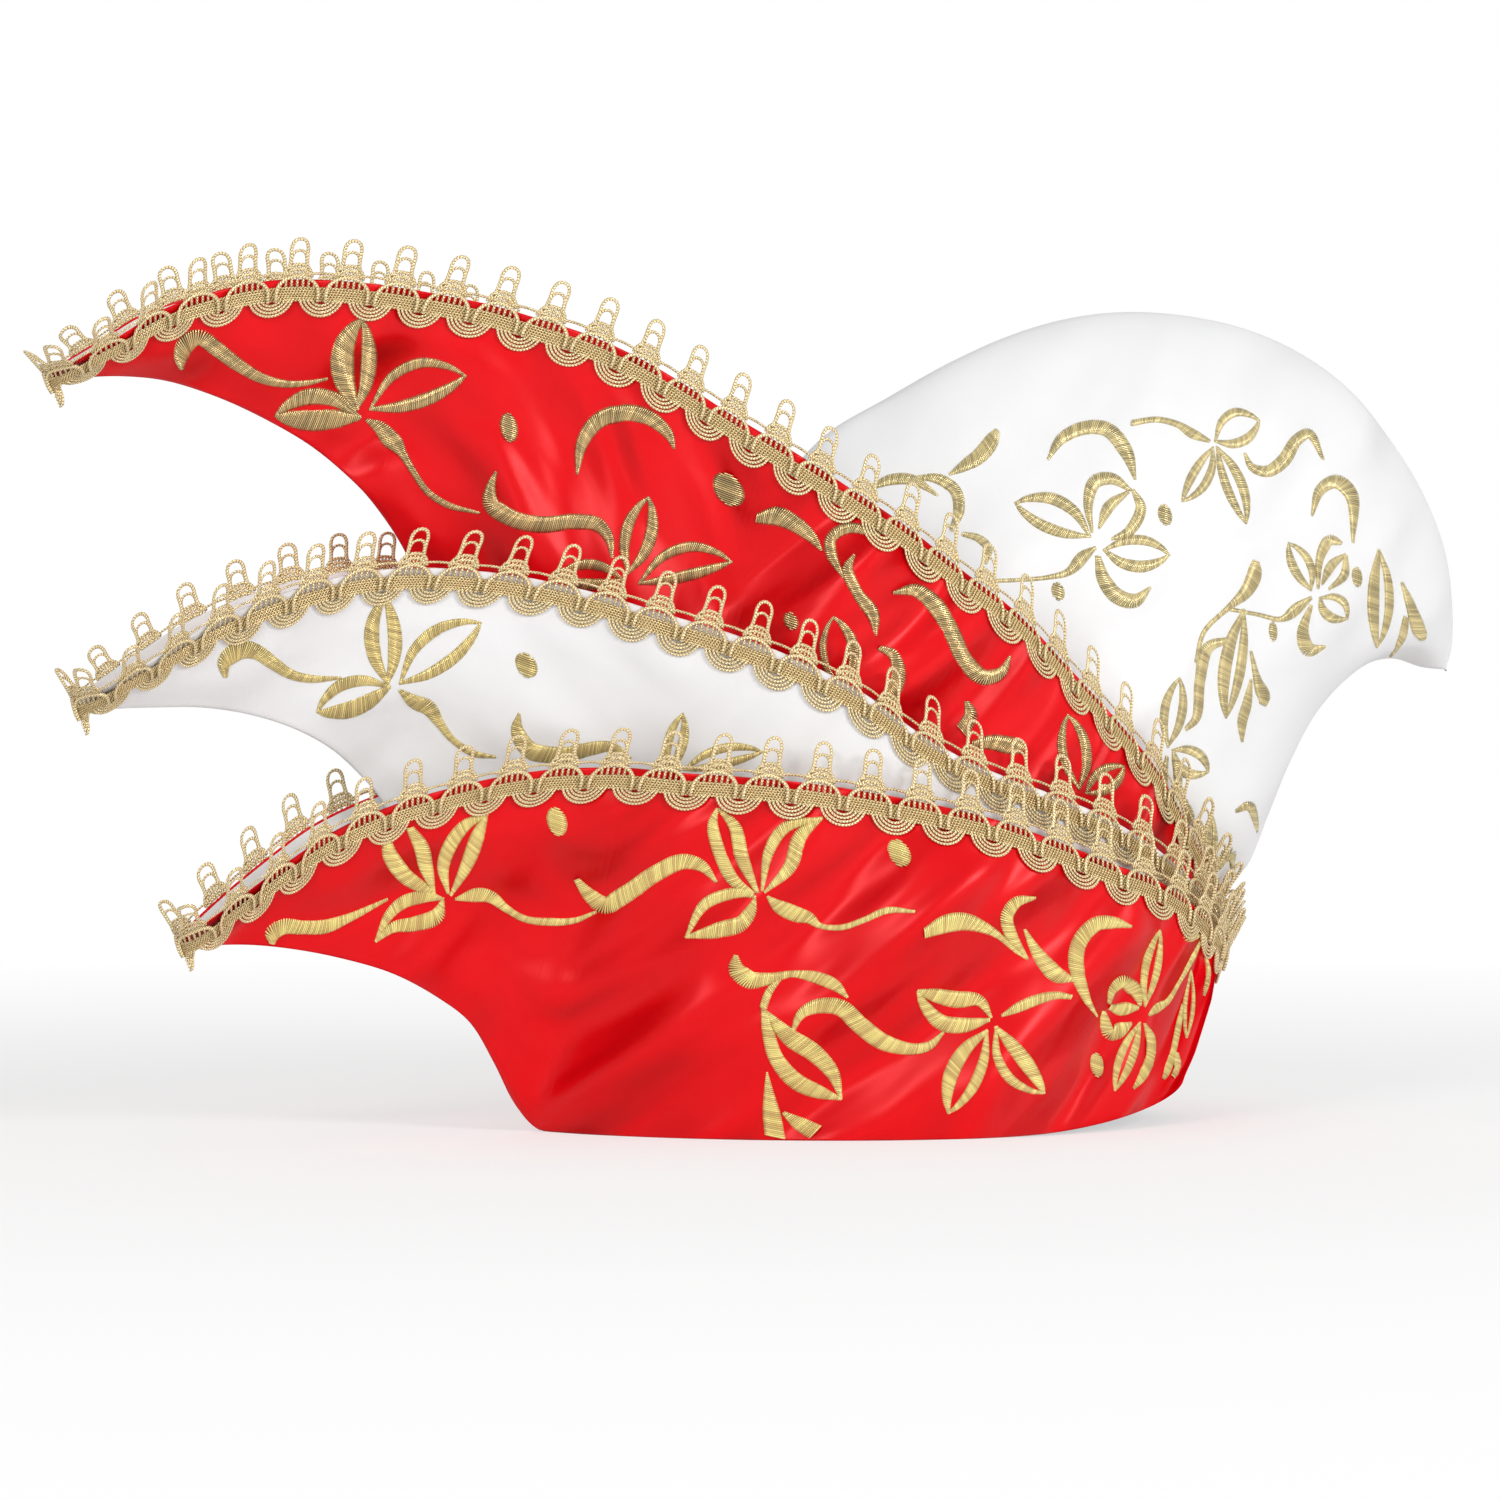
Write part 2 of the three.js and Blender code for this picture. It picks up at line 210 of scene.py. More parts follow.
# The crown's seams run in the mirror plane, columns x, z
FRONT_SEAM = ((-60, 0.5), (-52, 35), (-45, 75), (-34, 115), (-20, 152), (-2, 186))
RIDGE_SEAM = (
    (-2, 186), (12, 211), (27.5, 227.6), (50, 240.4), (74, 253.2), (99, 263.5), (124, 269), (150, 269.6),
    (176, 265.5), (198, 257), (216.2, 245), (229.8, 230.4), (243.6, 211), (252.8, 190), (256, 170),
    (256.3, 157), (255, 148.6),
)
BACK_SEAM = (
    (141.6, 13), (147.3, 36), (152, 56), (160, 68.5), (174.5, 84), (182, 101), (189.3, 118), (199, 134),
    (211.5, 145.5), (224.5, 151.6), (236, 152.6), (246.6, 149.4), (255, 148.6),
)

# The photograph's view: pixels of a square frame, and the viewing distance in millimetres
PHOTO = {
    "side": 1500,
    "azimuth": -20.0,
    "elevation": 1.0,
    "distance": 1800.0,
    "mm_per_px": 0.328,
    "target": (0.0, 0.0, 123.0),
}

# Left outer faces of the panels, which the embroidery is laid on
SURFACES = {}


def cut_length(name, description, default):
    """A length that the user can change, in metres."""
    return FloatProperty(name=name, description=description, default=default, unit="LENGTH")


def dye(name, description, default):
    """A colour that the user can change."""
    settings = {"name": name, "description": description, "default": default}
    return FloatVectorProperty(subtype="COLOR", min=0, max=1, **settings)


class CapSizes(PropertyGroup):
    """Sizes of the cloth, the lace and the thread."""

    wall: cut_length("Wall", "Thickness of the stiffened satin", WALL * MM)
    wrinkle: cut_length("Wrinkle", "Depth of the soft folds in the satin", 0.0018)
    lace_pitch: cut_length("Lace pitch", "Length of one repeat of the lace", 0.0162)
    lace_stand: cut_length("Lace stand", "Gap between the lace and the cloth", 0.0002)
    stitch: cut_length("Stitch", "Distance between the embroidery's threads", 0.0006)
    loft: cut_length("Loft", "Greatest height of the embroidery above the cloth", 0.0008)


class CapColours(PropertyGroup):
    """Colours of the cloth, the thread and the floor."""

    red: dye("Red satin", "Dye of the red panels", (0.75, 0.0012, 0.005))
    white: dye("White satin", "Dye of the white panels", (0.81, 0.81, 0.815))
    lining: dye("Lining", "Inner face of the walls", (0.80, 0.78, 0.76))
    cord: dye("Lace cord", "Metallic cord of the lace", (1.0, 0.69, 0.32))
    thread: dye("Gold thread", "Metallic thread of the embroidery", (0.93, 0.68, 0.25))
    floor: dye("Floor", "Pale studio floor", (0.93, 0.93, 0.93))


# Curves and outlines
LEAST_LENGTH = 1e-12


def table(columns, rows):
    """Columns of a table as named arrays."""
    return dict(zip(columns, np.array(rows, float).T))


def curve_through(points, places):
    """A centripetal Catmull-Rom curve through points, at places from 0 to 1."""
    points = np.asarray(points, float)
    last = len(points) - 1
    framed = np.vstack([2 * points[0] - points[1], points, 2 * points[-1] - points[-2]])
    place = np.clip(np.asarray(places, float), 0, 1) * last
    i = np.minimum(place.astype(int), last - 1)
    w = (place - i)[:, None]
    p0, p1, p2, p3 = (framed[i + k] for k in range(4))
    d0, d1, d2 = (np.sqrt(np.linalg.norm(b - a, axis=1))[:, None] for a, b in ((p0, p1), (p1, p2), (p2, p3)))
    leave = d1 * ((p1 - p0) / d0 - (p2 - p0) / (d0 + d1) + (p2 - p1) / d1)
    arrive = d1 * ((p2 - p1) / d1 - (p3 - p1) / (d1 + d2) + (p3 - p2) / d2)
    bend = 3 * (p2 - p1) - 2 * leave - arrive
    twist = 2 * (p1 - p2) + leave + arrive
    return p1 + w * (leave + w * (bend + w * twist))


def unit(vectors):
    return vectors / np.maximum(np.linalg.norm(vectors, axis=-1, keepdims=True), LEAST_LENGTH)


def run_length(points):
    """Length along a run of points, from its start."""
    steps = np.linalg.norm(np.diff(points, axis=0), axis=1)
    return np.concatenate([[0], np.cumsum(steps)])


def smooth_step(x, low, high):
    u = np.clip((x - low) / (high - low), 0, 1)
    return u * u * (3 - 2 * u)


def rim_half(x, layer):
    """Half-width of the head opening at x, for a layer inside the outermost one."""
    inset = layer * LAYER
    forward = x < RIM["widest_x"]
    reach = np.where(forward, RIM["front"] - RIM["front_taper"] * inset, RIM["back"] - inset)
    u = np.minimum(1, np.abs(x - RIM["widest_x"]) / reach)
    power = np.where(forward, RIM["front_power"], RIM["back_power"])
    return (RIM["half"] - inset) * (1 - u * u) ** power


def rim_height(x):
    u = np.maximum(0, (x - NAPE["start_x"]) / (NAPE["back_x"] - NAPE["start_x"]))
    return NAPE["lift"] * u * u


# Samples of a brim's edge when it is measured, and the share of it that gives its direction at a place
EDGE_SAMPLES = 4001
EDGE_STEP = 1e-4
# A height below everything, for places ahead of a brim's nose
FAR_BELOW = -100


class BrimWall:
    """The left wall of a brim as a run of upright rulings from nose to nape, in millimetres."""

    def __init__(self, cut, spacing):
        beak = table(BEAK_COLUMNS, cut["beak"])
        band = table(BAND_COLUMNS, cut["band"])
        joined = {name: np.concatenate([beak[name], band[name]]) for name in BAND_COLUMNS}
        tops = np.column_stack([joined["top_x"], -joined["top_half"], joined["top_z"]])
        beak_y = np.where(beak["top_half"] > 0, -SEAM_HALF, 0)
        band_y = -rim_half(band["foot_x"], cut["layer"])
        feet_y = np.concatenate([beak_y, band_y])
        feet_z = np.concatenate([beak["foot_z"], rim_height(band["foot_x"])])
        feet = np.column_stack([joined["foot_x"], feet_y, feet_z])
        fine = np.linspace(0, 1, EDGE_SAMPLES)
        run = run_length(curve_through(tops, fine))
        count = int(math.ceil(run[-1] / spacing))
        places = np.interp(np.linspace(0, run[-1], count + 1), run, fine)
        self.top = curve_through(tops, places)
        self.foot = curve_through(feet, places)
        self.foot[:, 2] = np.maximum(0, self.foot[:, 2])
        before, after = np.maximum(places - EDGE_STEP, 0), np.minimum(places + EDGE_STEP, 1)
        along = [unit(curve_through(p, after) - curve_through(p, before)) for p in (tops, feet)]
        level = along[0] + along[1]
        self.out = unit(np.column_stack([level[:, 1], -level[:, 0], np.zeros(len(level))]))
        self.out[0] = (-1, 0, 0)
        self.out[-1] = (1, 0, 0)
        self.along = along[0]
        self.run = run_length(self.top)
        self.height = np.linalg.norm(self.top - self.foot, axis=1)
        self.lean = cut["lean"] * smooth_step(self.top[:, 0], LEAN["from_x"], LEAN["to_x"])

    def edge_height(self, x):
        """Height of the top edge at places x, or far below ahead of the nose."""
        return np.interp(x, self.top[:, 0], self.top[:, 2], left=FAR_BELOW)


# Meshes
def placed(points):
    """Millimetres of the cut as metres of the frame."""
    moved = np.asarray(points, float) - (CENTRE_X, 0, 0)
    return moved * MM


def mirrored(points):
    return points * (1, -1, 1)


def add_object(name, data):
    """An object in the scene, at the origin."""
    made = bpy.data.objects.new(name, data)
    bpy.context.scene.collection.objects.link(made)
    return made


def set_values(mesh, label, values):
    """Keeps a number or a vector on each point of a mesh."""
    values = np.asarray(values, np.float32)
    kind, field = ("FLOAT", "value") if values.ndim == 1 else ("FLOAT_VECTOR", "vector")
    mesh.attributes.new(label, kind, "POINT").data.foreach_set(field, values.ravel())


def shade_round(mesh):
    mesh.polygons.foreach_set("use_smooth", np.ones(len(mesh.polygons), bool))
    mesh.update()


def mesh_object(name, points, faces, materials, face_slots=None, uv=None, panel=None):
    """A smooth mesh object at the origin, with a number that sets its folds apart."""
    mesh = bpy.data.meshes.new(name)
    mesh.from_pydata([tuple(p) for p in points], [], [tuple(int(v) for v in f) for f in faces])
    for material in materials:
        mesh.materials.append(material)
    if face_slots is not None:
        mesh.polygons.foreach_set("material_index", np.asarray(face_slots, np.int32))
    if uv is not None:
        layer = mesh.uv_layers.new(name="UVMap")
        corner = np.zeros(len(mesh.loops), np.int32)
        mesh.loops.foreach_get("vertex_index", corner)
        layer.data.foreach_set("uv", np.asarray(uv, np.float32)[corner].ravel())
    if panel is not None:
        set_values(mesh, "panel", np.full(len(points), panel))
    shade_round(mesh)
    return add_object(name, mesh)


def finish_piece(piece, slot, *nodes):
    """Makes a piece ride with the cap and hides the nodes that it stands for; its finish is not used."""
    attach(piece, BODY)
    if nodes:
        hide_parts(*nodes)


def grid_faces(columns, rows, closed_columns=False, closed_rows=False):
    """Quads of a grid of points that is stored column by column."""
    wide = columns if closed_columns else columns - 1
    tall = rows if closed_rows else rows - 1
    c, r = np.meshgrid(np.arange(wide), np.arange(tall), indexing="ij")
    c, r = c.ravel(), r.ravel()
    c1, r1 = (c + 1) % columns, (r + 1) % rows
    return np.column_stack([c * rows + r, c1 * rows + r, c1 * rows + r1, c * rows + r1])


# Soft folds of the satin: each panel's seed and slant, and waves of length in millimetres, stretch and share
FOLDS = {
    "lower": {"seed": 3.1, "angle": 58},
    "middle": {"seed": 11.7, "angle": 40},
    "upper": {"seed": 23.9, "angle": 38},
    "crown": {"seed": 41.3, "angle": 62},
}
FOLD_WAVES = ((26, 5.0, 0.6), (11, 6.0, 0.3), (5.5, 7.0, 0.1))


def soft_folds(run, height, seed, angle):
    """Slanting folds of stretched satin, between -1 and 1, at places along and up a panel."""
    slant = math.radians(angle)
    across = run * math.sin(slant) - height * math.cos(slant)
    along = run * math.cos(slant) + height * math.sin(slant)
    folds = np.zeros(len(run))
    for wave, stretch, share in FOLD_WAVES:
        for k in range(len(run)):
            place = Vector((across[k] / wave, along[k] / (wave * stretch), seed + wave))
            folds[k] += share * noise.noise(place)
    return folds


def keep_surface(name, grid):
    """Keeps the left outer face of a panel, to lay embroidery on."""
    columns, rows = grid.shape[:2]
    faces = grid_faces(columns, rows)
    SURFACES[name] = BVHTree.FromPolygons(placed(grid.reshape(-1, 3)).tolist(), faces.tolist())


# Brims
BRIM_SPACING = 2.1
OUTER_ROWS = 36
INNER_ROWS = 14
EDGE_ROUND = {"share": 0.5, "most": 0.3, "turns": (0.25, 0.5, 0.75)}
# Where the satin starts to lie loose and where it is quite loose, in millimetres
LOOSE = {"below_edge": (8, 20), "above_foot": (0, 12), "from_nose": (0, 30), "above_tier": (0, 14)}
SWELL = {"rest": 0.4, "gain": 2.2}


def brim_section(height, wall):
    """Shares of height and of depth around a wall's section, with rounded edges, one row per station."""
    round_off = np.minimum(EDGE_ROUND["most"], EDGE_ROUND["share"] * wall / height)[:, None]
    straight = 1 - 2 * round_off
    turn = np.pi * np.array(EDGE_ROUND["turns"])
    up = round_off + straight * np.linspace(0, 1, OUTER_ROWS + 1)
    over = 1 - round_off + round_off * np.sin(turn)
    down = round_off + straight * np.linspace(1, 0, INNER_ROWS + 1)
    under = round_off - round_off * np.sin(turn)
    rise = np.hstack([up, over, down, under])
    depth = np.concatenate([
        np.zeros(OUTER_ROWS + 1),
        (1 - np.cos(turn)) / 2,
        np.ones(INNER_ROWS + 1),
        (1 + np.cos(turn)) / 2,
    ])
    return rise, depth


def build_brim(name, cut, outer_wall, sizes, satin, lining):
    """A brim's two walls as one closed shell, satin outside and lining inside."""
    wall = BrimWall(cut, BRIM_SPACING)
    thick = sizes.wall / MM
    rise, depth = brim_section(wall.height, thick)
    columns, rows = rise.shape
    points = wall.foot[:, None] + (wall.top - wall.foot)[:, None] * rise[..., None]
    run = np.repeat(wall.run[:, None], rows, 1)
    above = rise * wall.height[:, None]
    below = (1 - rise) * wall.height[:, None]
    folds = soft_folds(run.ravel(), above.ravel(), **FOLDS[name]).reshape(columns, rows)
    loose = smooth_step(below, *LOOSE["below_edge"]) * smooth_step(above, *LOOSE["above_foot"])
    loose *= smooth_step(run, *LOOSE["from_nose"])
    if outer_wall is not None:
        loose *= smooth_step(points[..., 2] - outer_wall.edge_height(points[..., 0]), *LOOSE["above_tier"])
    swell = sizes.wrinkle / MM * np.maximum(0, SWELL["rest"] + SWELL["gain"] * folds) * loose * (depth < 0.5)
    points += wall.out[:, None] * (swell - thick * depth)[..., None]
    points[1:-1, :, 1] = np.minimum(points[1:-1, :, 1], -SEAM_CLEAR)
    points[[0, -1], :, 1] = 0
    ring = np.concatenate([points, mirrored(points[-2:0:-1])])
    uv_left = np.dstack([run, above])
    uv = np.concatenate([uv_left, uv_left[-2:0:-1]]).reshape(-1, 2) * MM
    faces = grid_faces(len(ring), rows, closed_columns=True, closed_rows=True)
    lined = (depth == 1) & (np.roll(depth, -1) == 1)
    slots = np.tile(lined, len(ring))
    places = placed(ring.reshape(-1, 3))
    piece = mesh_object(f"brim_{name}", places, faces, [satin, lining], slots, uv, FOLDS[name]["seed"])
    keep_surface(name, points[:, : OUTER_ROWS + 1])
    finish_piece(piece, f"{cut['satin']}_satin", f"brim_{name}_left", f"brim_{name}_right")
    return wall


class CAP_OT_brims(Operator):
    """Build the three nested brims of stiffened satin"""

    bl_idname = "cap.brims"
    bl_label = "Brims"

    def execute(self, context):
        sizes = context.scene.cap_sizes
        colours = context.scene.cap_colours
        lining = lining_cloth("lining", colours.lining)
        outer_wall = None
        for name, cut in BRIMS.items():
            outer_wall = build_brim(name, cut, outer_wall, sizes, satin_cloth(cut["satin"], colours), lining)
        return {"FINISHED"}


# Crown
CROWN_ALONG = 126
CROWN_UP = 90
CROWN_GUIDE_SPACING = 6.0
NO_LIMIT = 1e3
CROWN_FOLDS = {"share": 0.35, "held_to": 4, "free_from": 24}
RIDGE_GROOVE = {"depth": 0.5, "width": 1.6, "plain_part": 3}
SEAM_TAPER = {"least": 0.05, "share": 0.4, "from_half": 1}
TOUCHING = 1e-6
NO_LENGTH = 1e-7


def crown_half_width(s, t, x, z):
    """Half-width of the crown at shares s along and t up its side panel, held inside the upper brim."""
    forward = s < CROWN["widest_s"]
    u = np.abs(s - CROWN["widest_s"]) / np.where(forward, CROWN["widest_s"], 1 - CROWN["widest_s"])
    power = np.where(forward, RIM["front_power"], CROWN["back_power"])
    swell = CROWN["half"] * np.maximum(0, 1 - u * u) ** power
    swell = swell * np.maximum(0, 1 - t ** CROWN["ridge_bend"]) ** CROWN["ridge_power"]
    room = room_inside(BrimWall(BRIMS["upper"], CROWN_GUIDE_SPACING), x, z)
    soften = np.minimum(CROWN["soften"], CROWN["soften_share"] * swell + CROWN["soften_least"])
    mix = np.clip(0.5 + 0.5 * (room - swell) / soften, 0, 1)
    return np.maximum(0, room * (1 - mix) + swell * mix - soften * mix * (1 - mix))


def room_inside(wall, x, z):
    """Half-width left inside a brim at places x, z, and above its edge inside the lace that leans out."""
    room = np.full(len(x), NO_LIMIT)
    rise = wall.top[:, 2] - wall.foot[:, 2]
    towards_nape = np.maximum(0, wall.out[:, 0]) ** 2
    slack = CROWN["slack"] + (CROWN["nape_slack"] - CROWN["slack"]) * towards_nape
    for k in range(len(x)):
        share = (z[k] - wall.foot[:, 2]) / rise
        above = np.maximum(0, z[k] - wall.top[:, 2])
        widening = CROWN["lean_share"] * wall.lean * above
        widening += CROWN["flare"] * np.maximum(0, above - CROWN["free_above"])
        limit = wall.foot + (wall.top - wall.foot) * share[:, None]
        limit += wall.out * (widening - slack - WALL)[:, None]
        usable = z[k] >= wall.foot[:, 2] - NAPE["lift"]
        order = np.argsort(limit[usable, 0])
        limit_x = limit[usable, 0][order]
        inside_nape = x[k] <= limit_x[-1] or above[-1] < CROWN["free_above"]
        if limit_x[0] <= x[k] and inside_nape:
            room[k] = max(0, -np.interp(x[k], limit_x, limit[usable, 1][order]))
    return room


def crown_grid():
    """Points of the crown's left panel: columns from front to back, rows from rim to ridge."""
    across = np.linspace(0, 1, CROWN_ALONG + 1)
    rising = np.linspace(0, 1, CROWN_UP + 1)
    s_line = (1 - np.cos(np.pi * across)) / 2
    t_line = (rising + np.sin(np.pi / 2 * rising)) / 2
    s, t = (g.ravel() for g in np.meshgrid(s_line, t_line, indexing="ij"))
    front = curve_through(FRONT_SEAM, t)
    ridge = curve_through(RIDGE_SEAM, s)
    back = curve_through(BACK_SEAM, t)
    rim_x = FRONT_SEAM[0][0] + (BACK_SEAM[0][0] - FRONT_SEAM[0][0]) * s
    rim = np.column_stack([rim_x, rim_height(rim_x)])
    ends = np.array([FRONT_SEAM[0], BACK_SEAM[0], RIDGE_SEAM[0], RIDGE_SEAM[-1]], float)
    ends[:2, 1] = rim_height(ends[:2, 0])
    s1, t1 = s[:, None], t[:, None]
    flat = (1 - t1) * rim + t1 * ridge + (1 - s1) * front + s1 * back
    flat -= (1 - s1) * (1 - t1) * ends[0] + s1 * (1 - t1) * ends[1]
    flat -= (1 - s1) * t1 * ends[2] + s1 * t1 * ends[3]
    half = crown_half_width(s, t, flat[:, 0], flat[:, 1])
    grid = np.column_stack([flat[:, 0], -half, flat[:, 1]])
    grid = close_seams(grid.reshape(CROWN_ALONG + 1, CROWN_UP + 1, 3))
    grid[:, 0, 2] = np.maximum(grid[:, 0, 2], CROWN["rim_z"])
    return grid


def close_seams(grid):
    """Lays the front, back and ridge of a panel's grid level with the mirror plane."""
    grid[[0, -1], :, 1] = 0
    grid[:, -1, 1] = 0
    return grid


def grid_normals(grid):
    """Outward normals of a left panel's grid, level across the mirror plane."""
    along = np.gradient(grid, axis=0)
    up = np.gradient(grid, axis=1)
    return unit(close_seams(unit(np.cross(along, up))))


def build_crown(sizes, satin, lining):
    """The crown as a hollow shell of two panels, sewn along the front, the ridge and the back."""
    outer = crown_grid()
    columns, rows = outer.shape[:2]
    normals = grid_normals(outer)
    flat = outer.reshape(-1, 3)
    folds = soft_folds(flat[:, 0], flat[:, 2], **FOLDS["crown"]).reshape(columns, rows)
    half = -outer[..., 1]
    free = smooth_step(half, CROWN_FOLDS["held_to"], CROWN_FOLDS["free_from"])
    lift = sizes.wrinkle / MM * CROWN_FOLDS["share"] * folds * free
    groove = RIDGE_GROOVE["depth"] * np.exp(-(half / RIDGE_GROOVE["width"]) ** 2)
    groove[:, : rows // RIDGE_GROOVE["plain_part"]] = 0
    outer = close_seams(outer + normals * (lift - groove)[..., None])
    taper = SEAM_TAPER["least"] + SEAM_TAPER["share"] * np.maximum(half, SEAM_TAPER["from_half"])
    depth = np.minimum(sizes.wall / MM, taper)
    inner = outer - normals * depth[..., None]
    inner[:, 0, 2] = outer[:, 0, 2]
    sides = [outer, mirrored(outer), inner, mirrored(inner)]
    points = np.concatenate([g.reshape(-1, 3) for g in sides])
    faces, slots = crown_faces(columns, rows)
    uv = np.tile(flat[:, [0, 2]] * MM, (len(sides), 1))
    piece = mesh_object("crown", placed(points), faces, [satin, lining], slots, uv, FOLDS["crown"]["seed"])
    merge_doubles(piece)
    keep_surface("crown", outer)
    finish_piece(piece, "white_satin", "crown_left", "crown_right")


def crown_faces(columns, rows):
    """Faces of the outer and inner panels, left and right, and of the rim's edge between them."""
    count = columns * rows
    sheet = grid_faces(columns, rows)
    turned = sheet[:, ::-1]
    faces = [sheet, turned + count, turned + 2 * count, sheet + 3 * count]
    slots = [np.repeat(k // 2, len(sheet)) for k in range(4)]
    rim = np.arange(columns) * rows
    edge = np.column_stack([rim[1:], rim[:-1], rim[:-1] + 2 * count, rim[1:] + 2 * count])
    faces += [edge, edge[:, ::-1] + count]
    slots += [np.ones(2 * len(edge), int)]
    return np.concatenate(faces), np.concatenate(slots)


def merge_doubles(piece):
    """Sews the panels together where their points meet."""
    sewn = bmesh.new()
    sewn.from_mesh(piece.data)
    bmesh.ops.remove_doubles(sewn, verts=sewn.verts, dist=TOUCHING)
    bmesh.ops.dissolve_degenerate(sewn, edges=sewn.edges, dist=NO_LENGTH)
    sewn.to_mesh(piece.data)
    sewn.free()


class CAP_OT_crown(Operator):
    """Build the hollow crown with its ridge seam and hooked tail"""

    bl_idname = "cap.crown"
    bl_label = "Crown"

    def execute(self, context):
        colours = context.scene.cap_colours
        lining = lining_cloth("lining", colours.lining)
        build_crown(context.scene.cap_sizes, satin_cloth("white", colours), lining)
        return {"FINISHED"}


# Node trees
def join(tree, node, links):
    """Joins a node's inputs to sockets or sets them to plain values."""
    for key, value in links.items():
        if isinstance(value, bpy.types.NodeSocket):
            tree.links.new(value, node.inputs[key])
        else:
            node.inputs[key].default_value = value


def add_node(tree, kind, links=None, **settings):
    """Adds a node, sets its properties and joins its inputs."""
    node = tree.nodes.new(kind)
    for label, value in settings.items():
        setattr(node, label, value)
    join(tree, node, links or {})
    return node


class ShapeTree:
    """A geometry node tree under construction."""

    def __init__(self, name, inputs):
        self.tree = bpy.data.node_groups.new(name, "GeometryNodeTree")
        sockets = self.tree.interface
        sockets.new_socket("Geometry", in_out="INPUT", socket_type="NodeSocketGeometry")
        self.identifiers = {}
        for label, kind in inputs.items():
            socket = sockets.new_socket(label, in_out="INPUT", socket_type=kind)
            self.identifiers[label] = socket.identifier
        sockets.new_socket("Geometry", in_out="OUTPUT", socket_type="NodeSocketGeometry")
        self.given = self.tree.nodes.new("NodeGroupInput").outputs
        self.made = self.tree.nodes.new("NodeGroupOutput")

    def node(self, kind, links=None, **settings):
        return add_node(self.tree, kind, links, **settings)

    def math(self, operation, a, b=0.0):
        return self.node("ShaderNodeMath", {0: a, 1: b}, operation=operation).outputs[0]

    def scaled(self, vector, factor):
        links = {0: vector, "Scale": factor}
        return self.node("ShaderNodeVectorMath", links, operation="SCALE").outputs[0]

    def added(self, a, b):
        return self.node("ShaderNodeVectorMath", {0: a, 1: b}, operation="ADD").outputs[0]

    def attribute(self, label, kind):
        return self.node("GeometryNodeInputNamedAttribute", {"Name": label}, data_type=kind).outputs[0]

    def copies(self, points, source, **places):
        """Real copies of an object's mesh on points."""
        info = self.node("GeometryNodeObjectInfo", {"Object": source}, transform_space="ORIGINAL")
        links = {"Points": points, "Instance": info.outputs["Geometry"], **places}
        made = self.node("GeometryNodeInstanceOnPoints", links)
        real = self.node("GeometryNodeRealizeInstances", {"Geometry": made.outputs["Instances"]})
        return real.outputs["Geometry"]

    def finish(self, geometry):
        links = {"Geometry": geometry, "Material": self.given["Material"]}
        shaded = self.node("GeometryNodeSetMaterial", links)
        join(self.tree, self.made, {"Geometry": shaded.outputs["Geometry"]})


def bake_nodes(piece, built, values):
    """Runs a node tree on a piece and keeps its result as a plain mesh."""
    modifier = piece.modifiers.new(built.tree.name, "NODES")
    modifier.node_group = built.tree
    for label, value in values.items():
        modifier[built.identifiers[label]] = value
    graph = bpy.context.evaluated_depsgraph_get()
    shaped = piece.evaluated_get(graph)
    mesh = bpy.data.meshes.new_from_object(shaped, preserve_all_data_layers=True, depsgraph=graph)
    piece.modifiers.clear()
    piece.data = mesh
    mesh.name = piece.name
    if not len(mesh.polygons):
        raise RuntimeError(f"{piece.name}: the node tree gave no faces")
    shade_round(mesh)


# Lace: one repeat in millimetres from the brim's edge, and each cord's radius, sides, steps and paleness
CORD_COLUMNS = ("radius", "sides", "steps", "tone")
CORDS = {
    "scallop": (0.45, 5, 12, 1.0),
    "band": (0.42, 4, 8, 0.0),
    "arch": (0.58, 5, 18, 1.0),
    "bar": (0.45, 4, 2, 0.8),
    "dome": (0.52, 4, 12, 0.9),
    "dome_bar": (0.42, 4, 2, 0.7),
    "tower": (0.58, 5, 18, 1.0),
    "inner_loop": (0.48, 4, 14, 0.9),
    "chain": (0.42, 4, 12, 0.6),
}
# Shift of the twist from cord to cord, for each millimetre between their starts
CORD_SHIFT = 7.3
SCALLOPS = {"middle_z": -4.5, "radii": (7.2, 6.05, 4.9, 3.75), "tuck_z": -6.2, "off": 0.62, "knots": 9}
BAND = {"top_z": -2.7, "step": 0.79, "strands": 6, "off": 0.62, "ripple": 0.12, "plies": 3, "knots": 5}
BARS = {
    "bar": {"count": 7, "reach": 5.5, "low_z": -2.5, "high_z": 1.0, "fall": 1.9, "off": 0.6},
    "dome_bar": {"count": 7, "reach": 3.5, "low_z": 1.0, "high_z": 5.0, "fall": 1.8, "off": 0.55},
}
CHAIN = {"z": 2.0, "swing": 0.25, "off": 0.6, "knots": 7}
# Left halves of the cords that are symmetric about the middle of the repeat, columns x, off, z
ARCH = (
    (1.3, 1.5, -6.9), (1.3, 1.6, -4.4), (1.6, 1.35, -2.3),
    (3.3, 1.0, -0.3), (5.6, 0.85, 0.85), (8.1, 0.8, 1.2),
)
DOMES = (
    ((3.5, 0.65, 0.9), (4.3, 0.65, 3.2), (5.8, 0.65, 4.7), (8.1, 0.65, 5.1)),
    ((4.2, 0.65, 1.2), (5.4, 0.65, 2.9), (8.1, 0.65, 3.5)),
)
TOWER = (
    (5.1, 0.65, 3.4), (5.5, 0.65, 5.6), (5.6, 0.65, 8.3),
    (5.6, 0.65, 10.7), (6.4, 0.65, 12.7), (8.1, 0.65, 13.4),
)
INNER_LOOP = ((5.75, 0.8, 4.8), (5.85, 0.8, 7.5), (6.6, 0.8, 9.1), (8.1, 0.8, 9.7))
LACE_GUIDE = {"spacing": 1.5, "free_floor": -40.0, "tier_clear": 0.6, "nose_reach": 22, "nose_stand": 1.6}
